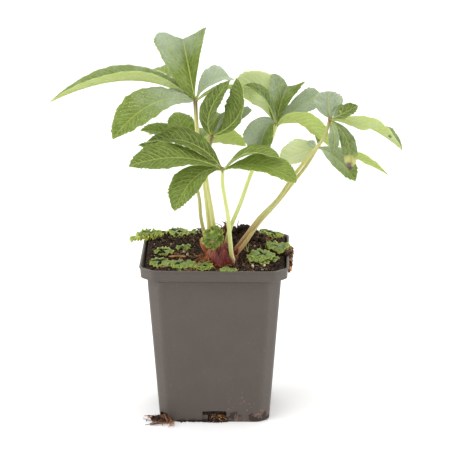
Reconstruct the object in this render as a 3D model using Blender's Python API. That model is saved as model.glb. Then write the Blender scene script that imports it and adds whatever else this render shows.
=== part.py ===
"""A young hellebore growing in a square plastic nursery pot.

Metres, +Z up. The origin is the centre of the pot's flat underside, and the
side of the plant that shows best faces -Y. Each separate thing is one object:
the pot, the soil, the crown, a stem and a whorl of leaflets for every leaf,
the liverwort plants on the soil and the roots that have grown out below.
"""

import math
import random

import bmesh
import bpy
from mathutils import Vector, noise
from mathutils.bvhtree import BVHTree

for leftover in list(bpy.data.objects):
    bpy.data.objects.remove(leftover)

MM = 0.001
CLEARANCE = 0.0003  # between pieces that touch on the real plant


# Materials


def material(name, colour, roughness):
    made = bpy.data.materials.new(name)
    made.use_nodes = True
    shader = made.node_tree.nodes["Principled BSDF"]
    shader.inputs["Base Color"].default_value = (*colour, 1)
    shader.inputs["Roughness"].default_value = roughness
    shader.inputs["Metallic"].default_value = 0
    made.diffuse_color = (*colour, 1)
    return made


POT_PLASTIC = material("pot plastic", (0.14, 0.12, 0.11), 0.55)
PEAT = material("peat", (0.035, 0.022, 0.016), 0.95)
CROWN_SKIN = material("crown skin", (0.33, 0.06, 0.05), 0.5)
STEM_SKIN = material("stem skin", (0.52, 0.58, 0.16), 0.45)
LEAF_SKIN = material("leaf skin", (0.13, 0.25, 0.05), 0.5)
LIVERWORT_SKIN = material("liverwort skin", (0.2, 0.36, 0.06), 0.6)
ROOT_SKIN = material("root skin", (0.22, 0.1, 0.03), 0.8)
BARK_SKIN = material("bark", (0.45, 0.17, 0.05), 0.85)


# Mesh tools that several pieces share


def place(name, mesh, skin):
    """A new object holding this bmesh, shaded smooth where it is round."""
    bmesh.ops.recalc_face_normals(mesh, faces=mesh.faces)
    data = bpy.data.meshes.new(name)
    mesh.to_mesh(data)
    mesh.free()
    data.materials.append(skin)
    data.shade_smooth()
    data.set_sharp_from_angle(angle=math.radians(40))
    made = bpy.data.objects.new(name, data)
    bpy.context.scene.collection.objects.link(made)
    return made


def combine(target, others, operation):
    """Joins the others to target, or cuts them from it, and removes them."""
    group = bpy.data.collections.new(target.name + " " + operation.lower())
    bpy.context.scene.collection.children.link(group)
    for member in others:
        bpy.context.scene.collection.objects.unlink(member)
        group.objects.link(member)
    boolean = target.modifiers.new(operation.title(), "BOOLEAN")
    boolean.operation = operation
    boolean.operand_type = "COLLECTION"
    boolean.collection = group
    boolean.solver = "EXACT"
    graph = bpy.context.evaluated_depsgraph_get()
    result = bpy.data.meshes.new_from_object(target.evaluated_get(graph))
    target.modifiers.clear()
    target.data = result
    for member in others:
        bpy.data.objects.remove(member)
    bpy.data.collections.remove(group)
    return target


def smooth_path(points, count):
    """Points along the Catmull-Rom curve that passes through all of points."""
    knots = [Vector(p) for p in points]
    knots = [2 * knots[0] - knots[1], *knots, 2 * knots[-1] - knots[-2]]
    spans = len(knots) - 3
    path = []
    for step in range(count + 1):
        along = min(step * spans / count, spans - 1e-9)
        k = int(along)
        t = along - k
        a, b, c, d = knots[k : k + 4]
        path.append(
            0.5 * (2 * b + (c - a) * t + (2 * a - 5 * b + 4 * c - d) * t**2
                   + (3 * b - a - 3 * c + d) * t**3)
        )
    return path


def directions(path):
    """The unit direction of travel at each point of a path."""
    last = len(path) - 1
    return [
        (path[min(k + 1, last)] - path[max(k - 1, 0)]).normalized()
        for k in range(last + 1)
    ]


def tube(path, radii, sides):
    """A closed round tube along a path, with one radius for each point."""
    mesh = bmesh.new()
    side = directions(path)[0].orthogonal().normalized()
    rings = []
    for centre, along, radius in zip(path, directions(path), radii):
        side = (side - side.dot(along) * along).normalized()
        other = along.cross(side)
        turns = [math.tau * k / sides for k in range(sides)]
        rings.append([
            mesh.verts.new(centre + radius * (math.cos(a) * side + math.sin(a) * other))
            for a in turns
        ])
    for low, high in zip(rings, rings[1:]):
        for k in range(sides):
            j = (k + 1) % sides
            mesh.faces.new((low[k], low[j], high[j], high[k]))
    mesh.faces.new(rings[0][::-1])
    mesh.faces.new(rings[-1])
    return mesh


def tapered(start, end, count):
    """Radii that run evenly from start to end."""
    return [start + (end - start) * k / count for k in range(count + 1)]


# The blade: one thin, bent, toothed sheet, used for leaflets and bud scales

TOOTH_AT = 0.7  # where a tooth's point lies between one notch and the next
NOTCH_SHARE = 0.5  # depth of a notch beside the height of a tooth
SIDES_APART = 2  # how far the waves of the two halves are out of step

def midrib(base, middle, tip, count):
    """Points along the curve from base through middle to tip."""
    bend = 2 * middle - (base + tip) / 2
    steps = [k / count for k in range(count + 1)]
    return [(1 - t) ** 2 * base + 2 * t * (1 - t) * bend + t**2 * tip for t in steps]


def blade(path, width, faces, shape):
    """A closed blade along a midrib path.

    faces holds the way that its upper side looks at the base and at the tip.
    shape holds how it tapers, folds, waves and is toothed.
    """
    last = len(path) - 1
    swell, point = shape["swell"], shape["point"]
    peak = swell / (swell + point)
    crest = peak**swell * (1 - peak) ** point
    fold = math.radians(shape["fold"])
    half_thickness = shape["thickness"] / 2 / math.cos(fold)
    travel = directions(path)
    mesh = bmesh.new()

    def half_width(t):
        return max(width / 2 * t**swell * (1 - t) ** point / crest, shape["stalk"] * (1 - t))

    def pair(t, across, reach):
        """The upper and the lower vertex at a place along and across the blade."""
        k = min(int(t * last), last - 1)
        centre = path[k].lerp(path[k + 1], t * last - k)
        along = travel[k].lerp(travel[k + 1], t * last - k).normalized()
        up = faces[0].lerp(faces[1], t)
        up = (up - up.dot(along) * along).normalized()
        side = along.cross(up)
        wave = shape["wave"] * math.sin(shape["waves"] * math.tau * t + SIDES_APART * across)
        lift = abs(across) * (math.sin(fold) + wave)
        point = centre + reach * (across * math.cos(fold) * side + lift * up)
        return mesh.verts.new(point + half_thickness * up), mesh.verts.new(
            point - half_thickness * up
        )

    tip = pair(1, 0, 0)
    spine = [*[pair(k / last, 0, 0) for k in range(last)], tip]

    def sheet(corners):
        """One triangle on the upper face, and its twin on the lower face."""
        for level in (0, 1):
            ring = [corner[level] for corner in corners]
            if len(set(ring)) == len(ring):
                mesh.faces.new(ring if level == 0 else ring[::-1])

    def wall(one, two):
        """The thin strip that joins both faces between two places on the margin."""
        mesh.faces.new((one[0], two[0], one[1]))
        mesh.faces.new((two[0], two[1], one[1]))

    for across, flip in ((-1, 1), (1, -1)):
        edge = []
        for k in range(last):
            toothed = k / last >= shape["plain_to"]
            notch = 1 - NOTCH_SHARE * shape["tooth"] * toothed
            edge.append(pair(k / last, across, half_width(k / last) * notch))
            t = (k + TOOTH_AT) / last
            edge.append(pair(t, across, half_width(t) * (1 + shape["tooth"] * toothed)))
        edge.append(tip)
        for k in range(last):
            m = 2 * k
            sheet((edge[m], spine[k], edge[m + 1])[::flip])
            sheet((edge[m + 1], spine[k], spine[k + 1])[::flip])
            sheet((edge[m + 1], spine[k + 1], edge[m + 2])[::flip])
        for one, two in zip(edge, edge[1:]):
            wall(one, two)
        wall(edge[0], spine[0])
    return mesh


# Pot: a thin square pot with cut corners, a stepped collar and drain slots

POT_HEIGHT = 0.099
RIM_HALF = 0.045  # half the outer width of the lip
WALL = 0.001
POT_FLOOR = 0.0015
POT_PROFILE = (  # height, half the outer width, and how much the corner is cut
    (0.0, 0.0328, 0.0060),
    (0.0008, 0.0335, 0.0062),
    (POT_HEIGHT - 0.0092, 0.0404, 0.0072),
    (POT_HEIGHT - 0.0084, 0.0408, 0.0072),
    (POT_HEIGHT - 0.0068, 0.0441, 0.0080),
    (POT_HEIGHT - 0.0014, 0.0444, 0.0080),
    (POT_HEIGHT - 0.0010, RIM_HALF, 0.0082),
    (POT_HEIGHT, RIM_HALF, 0.0082),
)
LIP_LEVELS = 2  # the last rows of the profile, which only the outside has
CORNER_SOFTNESS = 0.0022  # how far the softened edges of a cut corner reach
SLOT_WIDTH = 0.0150
SLOT_HEIGHT = 0.0070
SLOT_DEPTH = 0.0060
CORNER_SLOT = 0.0070
CORNER_SLOT_HEIGHT = 0.0049
CUT_BEYOND = 0.004  # how far the cutters of the slots stand out of the pot


def square_ring(half, cut, pieces=1):
    """Corner points of a square with cut, softened corners.

    Each long side is divided into this many pieces.
    """
    soft = CORNER_SOFTNESS
    slant = soft * math.sqrt(0.5)
    quarter_ring = [
        (half, half - cut - soft),
        (half - 0.12 * soft, half - cut + 0.1 * soft),
        (half - slant, half - cut + slant),
        (half - cut + slant, half - slant),
        (half - cut + 0.1 * soft, half - 0.12 * soft),
        (half - cut - soft, half),
    ]
    reach = half - cut - soft
    for k in range(1, pieces):
        quarter_ring.append((reach - 2 * reach * k / pieces, half))
    ring = []
    for quarter in range(4):
        cosine, sine = (1, 0, -1, 0)[quarter], (0, 1, 0, -1)[quarter]
        ring += [(x * cosine - y * sine, x * sine + y * cosine) for x, y in quarter_ring]
    return ring


def stack_rings(rings):
    """A body closed at both ends, through rings of points at given heights."""
    mesh = bmesh.new()
    levels = [[mesh.verts.new((x, y, z)) for x, y in ring] for z, ring in rings]
    for low, high in zip(levels, levels[1:]):
        for k in range(len(low)):
            j = (k + 1) % len(low)
            mesh.faces.new((low[k], low[j], high[j], high[k]))
    mesh.faces.new(levels[0][::-1])
    mesh.faces.new(levels[-1])
    return mesh


def inner_profile():
    """The pot's inside from the floor up: height, half width and cut corner."""
    floor, *walls = POT_PROFILE[1:-LIP_LEVELS]
    inside = [(POT_FLOOR, floor[1] - WALL, floor[2])]
    inside += [(z, half - WALL, cut) for z, half, cut in walls]
    inside.append((POT_HEIGHT, walls[-1][1] - WALL, walls[-1][2]))
    return inside


def box(name, low, high, turn):
    """A box cutter, turned about the pot's centre line."""
    mesh = bmesh.new()
    bmesh.ops.create_cube(mesh, size=1)
    for corner in mesh.verts:
        corner.co = Vector(
            high[axis] if corner.co[axis] > 0 else low[axis] for axis in range(3)
        )
    cutter = place(name, mesh, POT_PLASTIC)
    cutter.rotation_euler.z = turn
    return cutter


def make_pot():
    outside = [(z, square_ring(half, cut)) for z, half, cut in POT_PROFILE]
    inside = [(z, square_ring(half, cut)) for z, half, cut in inner_profile()]
    pot = place("pot", stack_rings(outside + inside[::-1]), POT_PLASTIC)
    below = -0.001
    side = POT_PROFILE[0][1]
    corner = side * math.sqrt(2) - POT_PROFILE[0][2] * math.sqrt(0.5)
    cutters = []
    for quarter in range(4):
        turn = quarter * math.pi / 2
        cutters.append(box(
            f"slot {quarter}",
            (-SLOT_WIDTH / 2, -side - CUT_BEYOND, below),
            (SLOT_WIDTH / 2, -side + SLOT_DEPTH, SLOT_HEIGHT),
            turn,
        ))
        cutters.append(box(
            f"corner slot {quarter}",
            (-CORNER_SLOT / 2, -corner - CUT_BEYOND, below),
            (CORNER_SLOT / 2, -corner + SLOT_DEPTH, CORNER_SLOT_HEIGHT),
            turn - math.pi / 4,
        ))
    bpy.context.view_layer.update()
    return combine(pot, cutters, "DIFFERENCE")


# Soil: the peat that fills the pot, heaped behind the crown

SOIL_GAP = 0.0004  # between the peat and the pot
SOIL_FRONT = 0.0945  # height of the peat along the front
SOIL_RISE = 0.0045  # how much higher it lies along the back
SLOPE_START = -0.030  # where it begins to rise, and over how long a way
SLOPE_LENGTH = 0.065
HEAP = Vector((0.014, 0.016))
HEAP_HEIGHT = 0.008
HEAP_SPREAD = 0.019
CRUMBLE = 0.0010
CRUMB_SCALES = (150, 400)  # coarse and fine crumbs to the metre
SOIL_RINGS = 8
SOIL_SIDE_PIECES = 4


def peat_height(x, y):
    """The height of the peat at a place in the pot."""
    back = min(max((y - SLOPE_START) / SLOPE_LENGTH, 0), 1)
    height = SOIL_FRONT + SOIL_RISE * back * back * (3 - 2 * back)
    apart = (Vector((x, y)) - HEAP).length
    height += HEAP_HEIGHT * math.exp(-((apart / HEAP_SPREAD) ** 2))
    fade = 1 - min(max(abs(x), abs(y)) / RIM_HALF, 1) ** 4
    coarse, fine = CRUMB_SCALES
    grain = noise.noise(Vector((x, y, 0)) * coarse)
    grain += 0.5 * noise.noise(Vector((y, x, 1)) * fine)
    return height + CRUMBLE * grain * fade


def make_soil():
    sides = inner_profile()[:-2]
    rings = []
    for z, half, cut in sides:
        rings.append((z + SOIL_GAP, square_ring(half - SOIL_GAP, cut, SOIL_SIDE_PIECES)))
    mesh = stack_rings(rings)
    mesh.faces.ensure_lookup_table()
    mesh.faces.remove(mesh.faces[-1])
    mesh.verts.ensure_lookup_table()
    outline = rings[-1][1]
    count = len(outline)
    level = list(mesh.verts)[-count:]
    for ring in range(SOIL_RINGS):
        share = 1 - ring / SOIL_RINGS
        higher = [
            mesh.verts.new((x * share, y * share, peat_height(x * share, y * share)))
            for x, y in outline
        ]
        for k in range(count):
            j = (k + 1) % count
            mesh.faces.new((level[k], level[j], higher[j]))
            mesh.faces.new((level[k], higher[j], higher[k]))
        level = higher
    middle = mesh.verts.new((0, 0, peat_height(0, 0)))
    for k in range(count):
        mesh.faces.new((level[k], level[(k + 1) % count], middle))
    return place("soil", mesh, PEAT)


def height_finder(*objects):
    """A function that gives the highest point of these objects at a place."""
    trees = []
    for found in objects:
        corners = [vertex.co.copy() for vertex in found.data.vertices]
        trees.append(BVHTree.FromPolygons(corners, [f.vertices[:] for f in found.data.polygons]))

    def highest(x, y):
        above = Vector((x, y, 1))
        hits = [tree.ray_cast(above, Vector((0, 0, -1)))[0] for tree in trees]
        return max((hit.z for hit in hits if hit), default=0)

    return highest


# Crown: the short reddish stock in the soil, with its pointed bud scales

CROWN_CENTRE = Vector((4, -10.5, 96)) * MM
CROWN_RADII = Vector((9.5, 9.5, 11)) * MM
CROWN_LUMPS = 0.10  # depth of its lumps as a share of its size
LUMPS_ACROSS = 2.2
BUD_SCALES = (  # foot, middle and tip in mm, then the width in mm
    ((12, -11, 98), (15, -15, 102), (18, -17, 107), 5.5),
    ((3, -3, 99), (3, 0, 105), (4, 1, 110), 6.0),
    ((-3, -7, 98), (-7, -8, 104), (-9, -8, 109), 6.0),
)
BUD_SCALE_SHAPE = {
    "swell": 0.5, "point": 0.75, "stalk": 0.001, "thickness": 0.0012, "fold": 25,
    "wave": 0, "waves": 0, "tooth": 0, "plain_to": 1,
}
BUD_SCALE_STATIONS = 5
BUD_SCALE_TILT = 0.004  # how far above the crown's centre line the scales look inward


def crown_lump(name, extra):
    """The crown's rounded stock, made larger all round by extra."""
    mesh = bmesh.new()
    bmesh.ops.create_icosphere(mesh, subdivisions=3, radius=1)
    for vertex in mesh.verts:
        lump = 1 + CROWN_LUMPS * noise.noise(vertex.co * LUMPS_ACROSS)
        outward = vertex.co.normalized()
        vertex.co = CROWN_CENTRE + vertex.co * CROWN_RADII * lump + outward * extra
    return place(name, mesh, CROWN_SKIN)


def make_crown():
    crown = crown_lump("crown", 0)
    scales = []
    for number, (foot, middle, tip, width) in enumerate(BUD_SCALES):
        points = [Vector(p) * MM for p in (foot, middle, tip)]
        path = midrib(*points, BUD_SCALE_STATIONS)
        inward = CROWN_CENTRE - path[0]
        inward.z = BUD_SCALE_TILT
        faces = (inward.normalized(), inward.normalized())
        mesh = blade(path, width * MM, faces, BUD_SCALE_SHAPE)
        scales.append(place(f"bud scale {number}", mesh, CROWN_SKIN))
    return combine(crown, scales, "UNION")


# Leaves. A stem is given by the points in mm that it passes through, from
# its foot in the crown to the hub where the leaflets meet, and by its radius
# in mm at the foot and at the top. A leaflet is given from the hub, in mm: the
# middle of its midrib, its tip, its width, the way that its upper side looks
# at the base and at the tip, the angle by which each half is folded up, and
# the form of its outline.

LEAVES = (
    {
        "stem": ((-2, -3, 97), (-6, 3, 106), (-9, 6, 118), (-10, 8, 129), (-12, 10, 140),
                 (-13, 12, 159)),
        "radii": (1.3, 0.9),
        "leaflets": (
            ((-7, 8, 10), (-11, 22, 19), 17, (0, -0.8, 0.5), (0, -0.3, 0.9), 12, "oval"),
            ((-16, 0, 7), (-32, -4, 11), 14, (0, -0.3, 1), (0, -0.4, 1), 20, "lance"),
            ((-16, -5, 1), (-30, -10, 3), 12, (0, -0.4, 1), (0, -0.4, 1), 15, "lance"),
            ((15, 7, 6), (31, 8, 1), 14, (0, 0.7, 0.7), (0.5, 0.5, 0.6), 15, "lance"),
            ((-15, 15, 7), (-29, 28, 3), 16, (0, 0, 1), (0, 0, 1), 15, "lance"),
            ((8, 17, 7), (15, 33, 3), 16, (0, 0, 1), (0, 0, 1), 15, "lance"),
        ),
    },
    {
        "stem": ((-1, -6, 98), (-3, -4, 108), (-4, -4, 120), (-7, -4, 148), (-9, -4, 160),
                 (-11, -4, 177), (-12, -4, 194)),
        "radii": (1.6, 1.2),
        "leaflets": (
            ((-5, 7, 20), (-8, 20, 37), 31, (0, -1, 0.2), (0, -0.6, 0.8), 36, "wedge"),
            ((-39, 1, 16), (-87, -5, 0), 19, (0, 0.25, 1), (0, 0.15, 1), 28, "slender"),
            ((-25, -14, 1), (-48, -30, -17), 23, (-0.1, -0.5, 0.9), (-0.3, -0.7, 0.6), 18,
             "lance"),
            ((8, 14, 9), (20, 27, 10), 19, (-0.2, -0.7, 0.6), (0, -0.4, 0.9), 20, "wedge"),
            ((18, 4, 7), (36, 3, 3), 9, (0, 0.1, 1), (0, 0.1, 1), 20, "slender"),
            ((-16, 20, 14), (-36, 42, 8), 20, (0, 0, 1), (0, 0, 1), 20, "lance"),
        ),
    },
    {
        "stem": ((1, -11, 98), (0, -10, 108), (-1, -10, 120), (-5, -11, 146), (-5, -11, 157),
                 (-2, -10, 173)),
        "radii": (1.5, 1.1),
        "leaflets": (
            ((-1, 1, 15), (11, 4, 34), 13, (-0.4, -0.7, 0.4), (-0.5, -0.6, 0.4), 20, "lance"),
            ((17, -4, 16), (15, -2, 37), 20, (-0.6, -0.6, 0.4), (-0.8, -0.4, 0.2), 25, "lance"),
            ((12, 8, 6), (25, 10, 12), 12, (0, -0.4, 0.9), (0, -0.4, 0.9), 15, "lance"),
            ((3, 17, 9), (8, 36, 3), 18, (0, 0, 1), (0, 0, 1), 18, "lance"),
        ),
    },
    {
        "stem": ((9, -15, 92), (11, -18, 98), (10, -19, 104), (8, -20, 127), (5, -21, 146),
                 (5, -22, 156)),
        "radii": (1.5, 1.1),
        "leaflets": (
            ((-20, -1, 19), (-47, 2, 17), 17, (-0.3, -0.7, 0.7), (-0.1, -0.4, 0.9), 15, "lance"),
            ((-26, -12, 10), (-55, -22, 7), 21, (-0.1, -0.6, 0.8), (0, -0.5, 0.9), 15, "lance"),
            ((-16, -12, -2), (-28, -26, -19), 19, (-0.3, -0.6, 0.7), (-0.4, -0.8, 0.4), 18,
             "lance"),
            ((16, -5, 11), (34, -11, 10), 14, (0, -0.15, 1), (0, -0.2, 1), 15, "lance"),
            ((24, -8, 4), (44, -16, -4), 20, (0.1, -0.45, 0.9), (0.3, -0.5, 0.8), 18, "lance"),
        ),
    },
    {
        "stem": ((5, -6, 98), (7, -8, 107), (10, -9, 118), (16, -8, 133), (22, -6, 150),
                 (28, -5, 161), (33, -4, 168), (37, -2, 179)),
        "radii": (1.4, 1.1),
        "leaflets": (
            ((0, 5, 15), (6, 12, 25), 24, (0, -0.9, 0.4), (0, -0.7, 0.7), 30, "wedge"),
            ((13, 2, 13), (24, 4, 20), 17, (0, -0.8, 0.5), (0, -0.8, 0.5), 15, "oval"),
            ((-9, -4, 20), (-18, -8, 28), 10, (-0.3, -0.1, 1), (-0.3, 0, 1), 25, "slender"),
            ((-9, 10, 24), (-27, 5, 25), 22, (-0.3, 0.8, 0.5), (-0.2, 0.6, 0.8), 12, "lance"),
            ((-8, -3, -1), (-14, -6, -14), 19, (-0.2, -0.6, 0.8), (-0.3, -0.8, 0.5), 35, "oval"),
            ((16, 5, 4), (31, 3, -9), 15, (0, 0.7, 0.7), (0.6, 0.5, 0.5), 15, "lance"),
            ((6, 19, 7), (13, 36, -3), 18, (0, 0, 1), (0, 0.3, 1), 18, "lance"),
        ),
    },
    {
        "stem": ((9, -8, 98), (13, -8, 103), (18, -9, 110), (27, -11, 123), (38, -12, 135),
                 (48, -14, 151), (57, -15, 163), (65, -17, 174), (69, -18, 186)),
        "radii": (1.4, 1.0),
        "leaflets": (
            ((0, 4, 8), (1, 10, 15), 18, (0, -0.8, 0.5), (0, -0.6, 0.8), 15, "oval"),
            ((8, 1, 6), (15, 3, 8), 10, (0, -0.6, 0.8), (0, -0.6, 0.8), 15, "oval"),
            ((4, -6, -8), (-1, -6, -19), 9, (-0.5, -0.9, 0.1), (-0.5, -0.9, 0), 25, "slender"),
            ((10, -6, -13), (12, -6, -29), 15, (0.3, -0.9, 0.3), (0.2, -1, 0.1), 20, "oval"),
            ((24, 0, -2), (43, -4, -17), 16, (0.1, 0.5, 0.85), (0.7, 0.4, 0.6), 15, "lance"),
            ((4, 17, 3), (9, 31, -8), 16, (0, 0, 1), (0, 0.3, 1), 18, "lance"),
        ),
    },
    {
        "stem": ((10, -13, 97), (14, -13, 101), (19, -12, 106), (28, -8, 118), (39, -3, 129),
                 (49, 2, 142), (56, 5, 152), (62, 8, 163)),
        "radii": (1.3, 1.0),
        "leaflets": (
            ((-11, -4, -1), (-22, -8, -6), 18, (-0.1, -0.6, 0.8), (-0.4, -0.6, 0.7), 12, "oval"),
            ((12, -4, -7), (23, -10, -19), 16, (0.2, -0.6, 0.8), (0.4, -0.7, 0.6), 18, "lance"),
            ((21, 6, -6), (42, 6, -18), 11, (0.1, 0, 1), (0.3, 0, 0.9), 20, "slender"),
            ((5, 16, 3), (10, 31, -6), 16, (0, 0, 1), (0, 0.3, 1), 18, "lance"),
        ),
    },
)
LEAFLET_SHAPE = {
    "stalk": 0.0009, "thickness": 0.0007, "wave": 0.07, "waves": 1.5, "tooth": 0.10,
    "plain_to": 0.25,
}
LEAFLET_FORMS = {  # how fast the outline swells from the base and closes at the point
    "lance": {"swell": 1.00, "point": 0.66},
    "wedge": {"swell": 1.40, "point": 0.22},
    "oval": {"swell": 0.75, "point": 0.50},
    "slender": {"swell": 0.90, "point": 0.85},
}
LEAFLET_STATIONS = 7
LEAFLET_START = 0.0016  # how far from the hub's centre a leaflet's base lies
KNUCKLE = 0.0021  # radius of the lump where the leaflets meet
STEM_STATIONS = 12
STEM_SIDES = 6


def make_stem(name, leaf, extra=0):
    """The stalk of a leaf, up to just below its knuckle, made larger by extra."""
    path = smooth_path([Vector(p) * MM for p in leaf["stem"]], STEM_STATIONS)
    path[0] -= (path[1] - path[0]).normalized() * extra
    stop = path[-1] + (path[-2] - path[-1]).normalized() * (KNUCKLE + CLEARANCE)
    path[-1] = stop
    foot, top = (radius * MM for radius in leaf["radii"])
    radii = [radius + extra for radius in tapered(foot, top, STEM_STATIONS)]
    return place(name, tube(path, radii, STEM_SIDES), STEM_SKIN)


def make_leaf(name, leaf):
    """The leaflets of one leaf, grown together in the knuckle at the hub."""
    hub = Vector(leaf["stem"][-1]) * MM
    mesh = bmesh.new()
    bmesh.ops.create_icosphere(mesh, subdivisions=2, radius=KNUCKLE)
    bmesh.ops.translate(mesh, verts=mesh.verts, vec=hub)
    knuckle = place(name, mesh, LEAF_SKIN)
    leaflets = []
    for number, (middle, tip, width, base_face, tip_face, fold, form) in enumerate(
        leaf["leaflets"]
    ):
        middle, tip = Vector(middle) * MM, Vector(tip) * MM
        start = middle.normalized() * LEAFLET_START
        path = midrib(hub + start, hub + middle, hub + tip, LEAFLET_STATIONS)
        faces = (Vector(base_face).normalized(), Vector(tip_face).normalized())
        shape = {**LEAFLET_SHAPE, **LEAFLET_FORMS[form], "fold": fold}
        mesh = blade(path, width * MM, faces, shape)
        leaflets.append(place(f"{name} leaflet {number}", mesh, LEAF_SKIN))
    return combine(knuckle, leaflets, "UNION")


# Liverwort: flat, lobed, ruffled plants that lie on the peat

LIVERWORTS = (  # place in mm, reach in mm, lobes, height of its ruffles in mm
    ("back_left", (-42, 33), 11, 5, 3.0),
    ("back", (-24, 37), 5.5, 4, 2.0),
    ("back_middle", (-12, 37), 4.5, 3, 2.0),
    ("left", (-32, 1), 6.5, 4, 1.5),
    ("left_middle", (-19, 8), 5, 3, 2.5),
    ("front_left", (-33, -17), 5.5, 3, 1.5),
    ("front", (-20, -22), 7, 5, 2.0),
    ("front_middle", (-7, -27), 6, 4, 1.5),
    ("front_right", (9, -31), 5, 4, 1.0),
    ("right", (29, -6), 8.5, 5, 2.0),
    ("right_rim", (39, 10), 8, 4, 2.5),
    ("back_right", (33, 27), 7.5, 4, 2.5),
)
LIVERWORT_THICKNESS = 0.0007
LIVERWORT_LIFT = 0.0006  # of its underside over the peat
LIVERWORT_POINTS = 20  # round its margin
INNER_RING = 0.55  # where its inner ring of points lies on the way out
LOBE_DEPTH = 0.24  # as a share of its reach
MARGIN_TEETH = 0.06
RIM_REACH = 0.003  # how far each side of the rim's edge a lobe lies level on it
RIM_DROOP = 0.5  # slope at which a lobe hangs down further out
FRILL = {  # the one that stands against the left of the crown, in front of two stems
    "centre": (-2.5, -16.0, 108.5), "across": (1, 0, 0), "upward": (0, 0.35, 1),
    "reach": 7, "lobes": 5, "ruffle": 1.5,
}


def lobed_sheet(name, reach, lobes, ruffle):
    """A thin lobed sheet that lies flat round the origin, with a ruffled margin."""
    draw = random.Random(name)
    turn = draw.uniform(0, math.tau)
    mesh = bmesh.new()

    def pair(share, k):
        angle = math.tau * k / LIVERWORT_POINTS
        lobe = LOBE_DEPTH * math.cos(lobes * angle + turn) + MARGIN_TEETH * (-1) ** k
        out = reach * share * (1 + lobe * share)
        rise = ruffle * share**3 * (0.5 + 0.5 * math.sin((2 * lobes - 1) * angle + turn))
        point = Vector((out * math.cos(angle), out * math.sin(angle), rise))
        lower = mesh.verts.new(point)
        point.z += LIVERWORT_THICKNESS
        return mesh.verts.new(point), lower

    centre = pair(0, 0)
    inner = [pair(INNER_RING, k) for k in range(LIVERWORT_POINTS)]
    margin = [pair(1, k) for k in range(LIVERWORT_POINTS)]
    for k in range(LIVERWORT_POINTS):
        j = (k + 1) % LIVERWORT_POINTS
        for corners in (
            (centre, inner[k], inner[j]),
            (inner[k], margin[k], margin[j]),
            (inner[k], margin[j], inner[j]),
        ):
            mesh.faces.new([corner[0] for corner in corners])
            mesh.faces.new([corner[1] for corner in corners[::-1]])
        mesh.faces.new((margin[k][0], margin[k][1], margin[j][0]))
        mesh.faces.new((margin[j][0], margin[k][1], margin[j][1]))
    return mesh


def make_liverworts(soil, pot):
    highest = height_finder(soil, pot)
    corner_cut = POT_PROFILE[-1][2]

    def ground(x, y):
        """The peat, or the rim and, well outside it, a slope down from it."""
        past_side = max(abs(x), abs(y)) - RIM_HALF
        past_corner = (abs(x) + abs(y) - 2 * RIM_HALF + corner_cut) * math.sqrt(0.5)
        outside = max(past_side, past_corner)
        if outside < -RIM_REACH:
            return highest(x, y)
        return max(highest(x, y), POT_HEIGHT - RIM_DROOP * max(outside - RIM_REACH, 0))

    for name, (x, y), reach, lobes, ruffle in LIVERWORTS:
        mesh = lobed_sheet(name, reach * MM, lobes, ruffle * MM)
        for vertex in mesh.verts:
            vertex.co += Vector((x, y, 0)) * MM
            vertex.co.z += ground(vertex.co.x, vertex.co.y) + LIVERWORT_LIFT
        place(f"liverwort_{name}", mesh, LIVERWORT_SKIN)


def make_frill():
    """The liverwort that stands up against the crown."""
    across = Vector(FRILL["across"]).normalized()
    upward = Vector(FRILL["upward"]).normalized()
    mesh = lobed_sheet("frill", FRILL["reach"] * MM, FRILL["lobes"], FRILL["ruffle"] * MM)
    for vertex in mesh.verts:
        x, y, z = vertex.co
        outward = across.cross(upward)
        vertex.co = Vector(FRILL["centre"]) * MM + x * across + y * upward + z * outward
    place("liverwort_crown", mesh, LIVERWORT_SKIN)


# Roots: a tuft that leaves by the front left corner slot and lies on the ground

ROOTS = (  # points in mm that each root passes through
    ((-29.5, -29.5, 2.6), (-34, -33, 1.8), (-40, -36, 1.2), (-45, -36, 1.1)),
    ((-29.5, -29.5, 2.6), (-34, -35, 1.8), (-37, -41, 1.2), (-39, -46, 1.1)),
    ((-29.5, -29.5, 2.6), (-32, -34, 1.6), (-30, -39, 1.1), (-27, -43, 1.1)),
    ((-29.5, -29.5, 2.6), (-35, -31, 1.8), (-40, -27, 1.1), (-41, -20, 1.1)),
)
ROOT_STATIONS = 6
ROOT_SIDES = 5
ROOT_RADIUS = 0.0007
ROOT_FOOT_RADIUS = 0.00091


def make_roots():
    made = []
    for number, route in enumerate(ROOTS):
        path = smooth_path([Vector(p) * MM for p in route], ROOT_STATIONS)
        radii = tapered(ROOT_FOOT_RADIUS, ROOT_RADIUS, ROOT_STATIONS)
        name = "root_tuft" if number == 0 else f"root {number}"
        made.append(place(name, tube(path, radii, ROOT_SIDES), ROOT_SKIN))
    return combine(made[0], made[1:], "UNION")


# Bark: a splinter that lies on the peat on the left

BARK_CENTRE = Vector((-23, -6)) * MM
BARK_LENGTH = 0.011
BARK_THICKNESS = 0.0016
BARK_BEVEL = 0.2  # as a share of its thickness and of its length
BARK_GAP = 0.0004


def make_bark(ground):
    mesh = bmesh.new()
    bmesh.ops.create_cube(mesh, size=1)
    bmesh.ops.bevel(mesh, geom=mesh.edges[:], offset=BARK_BEVEL, segments=1, affect="EDGES")
    lowest = max(
        ground(BARK_CENTRE.x + BARK_LENGTH * share, BARK_CENTRE.y + across * MM)
        for share in (-0.5, -0.25, 0, 0.25, 0.5)
        for across in (-1, 0, 1)
    )
    for vertex in mesh.verts:
        x, y, z = vertex.co
        vertex.co = Vector((
            BARK_CENTRE.x + BARK_LENGTH * x,
            BARK_CENTRE.y + BARK_THICKNESS * y,
            lowest + BARK_GAP + BARK_THICKNESS * (z + 0.5),
        ))
    return place("bark_chip", mesh, BARK_SKIN)


# The whole plant


def make_sockets(use):
    """The holes that the stems stand in."""
    return [
        make_stem(f"{use} socket {number}", leaf, CLEARANCE)
        for number, leaf in enumerate(LEAVES, 1)
    ]


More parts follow.
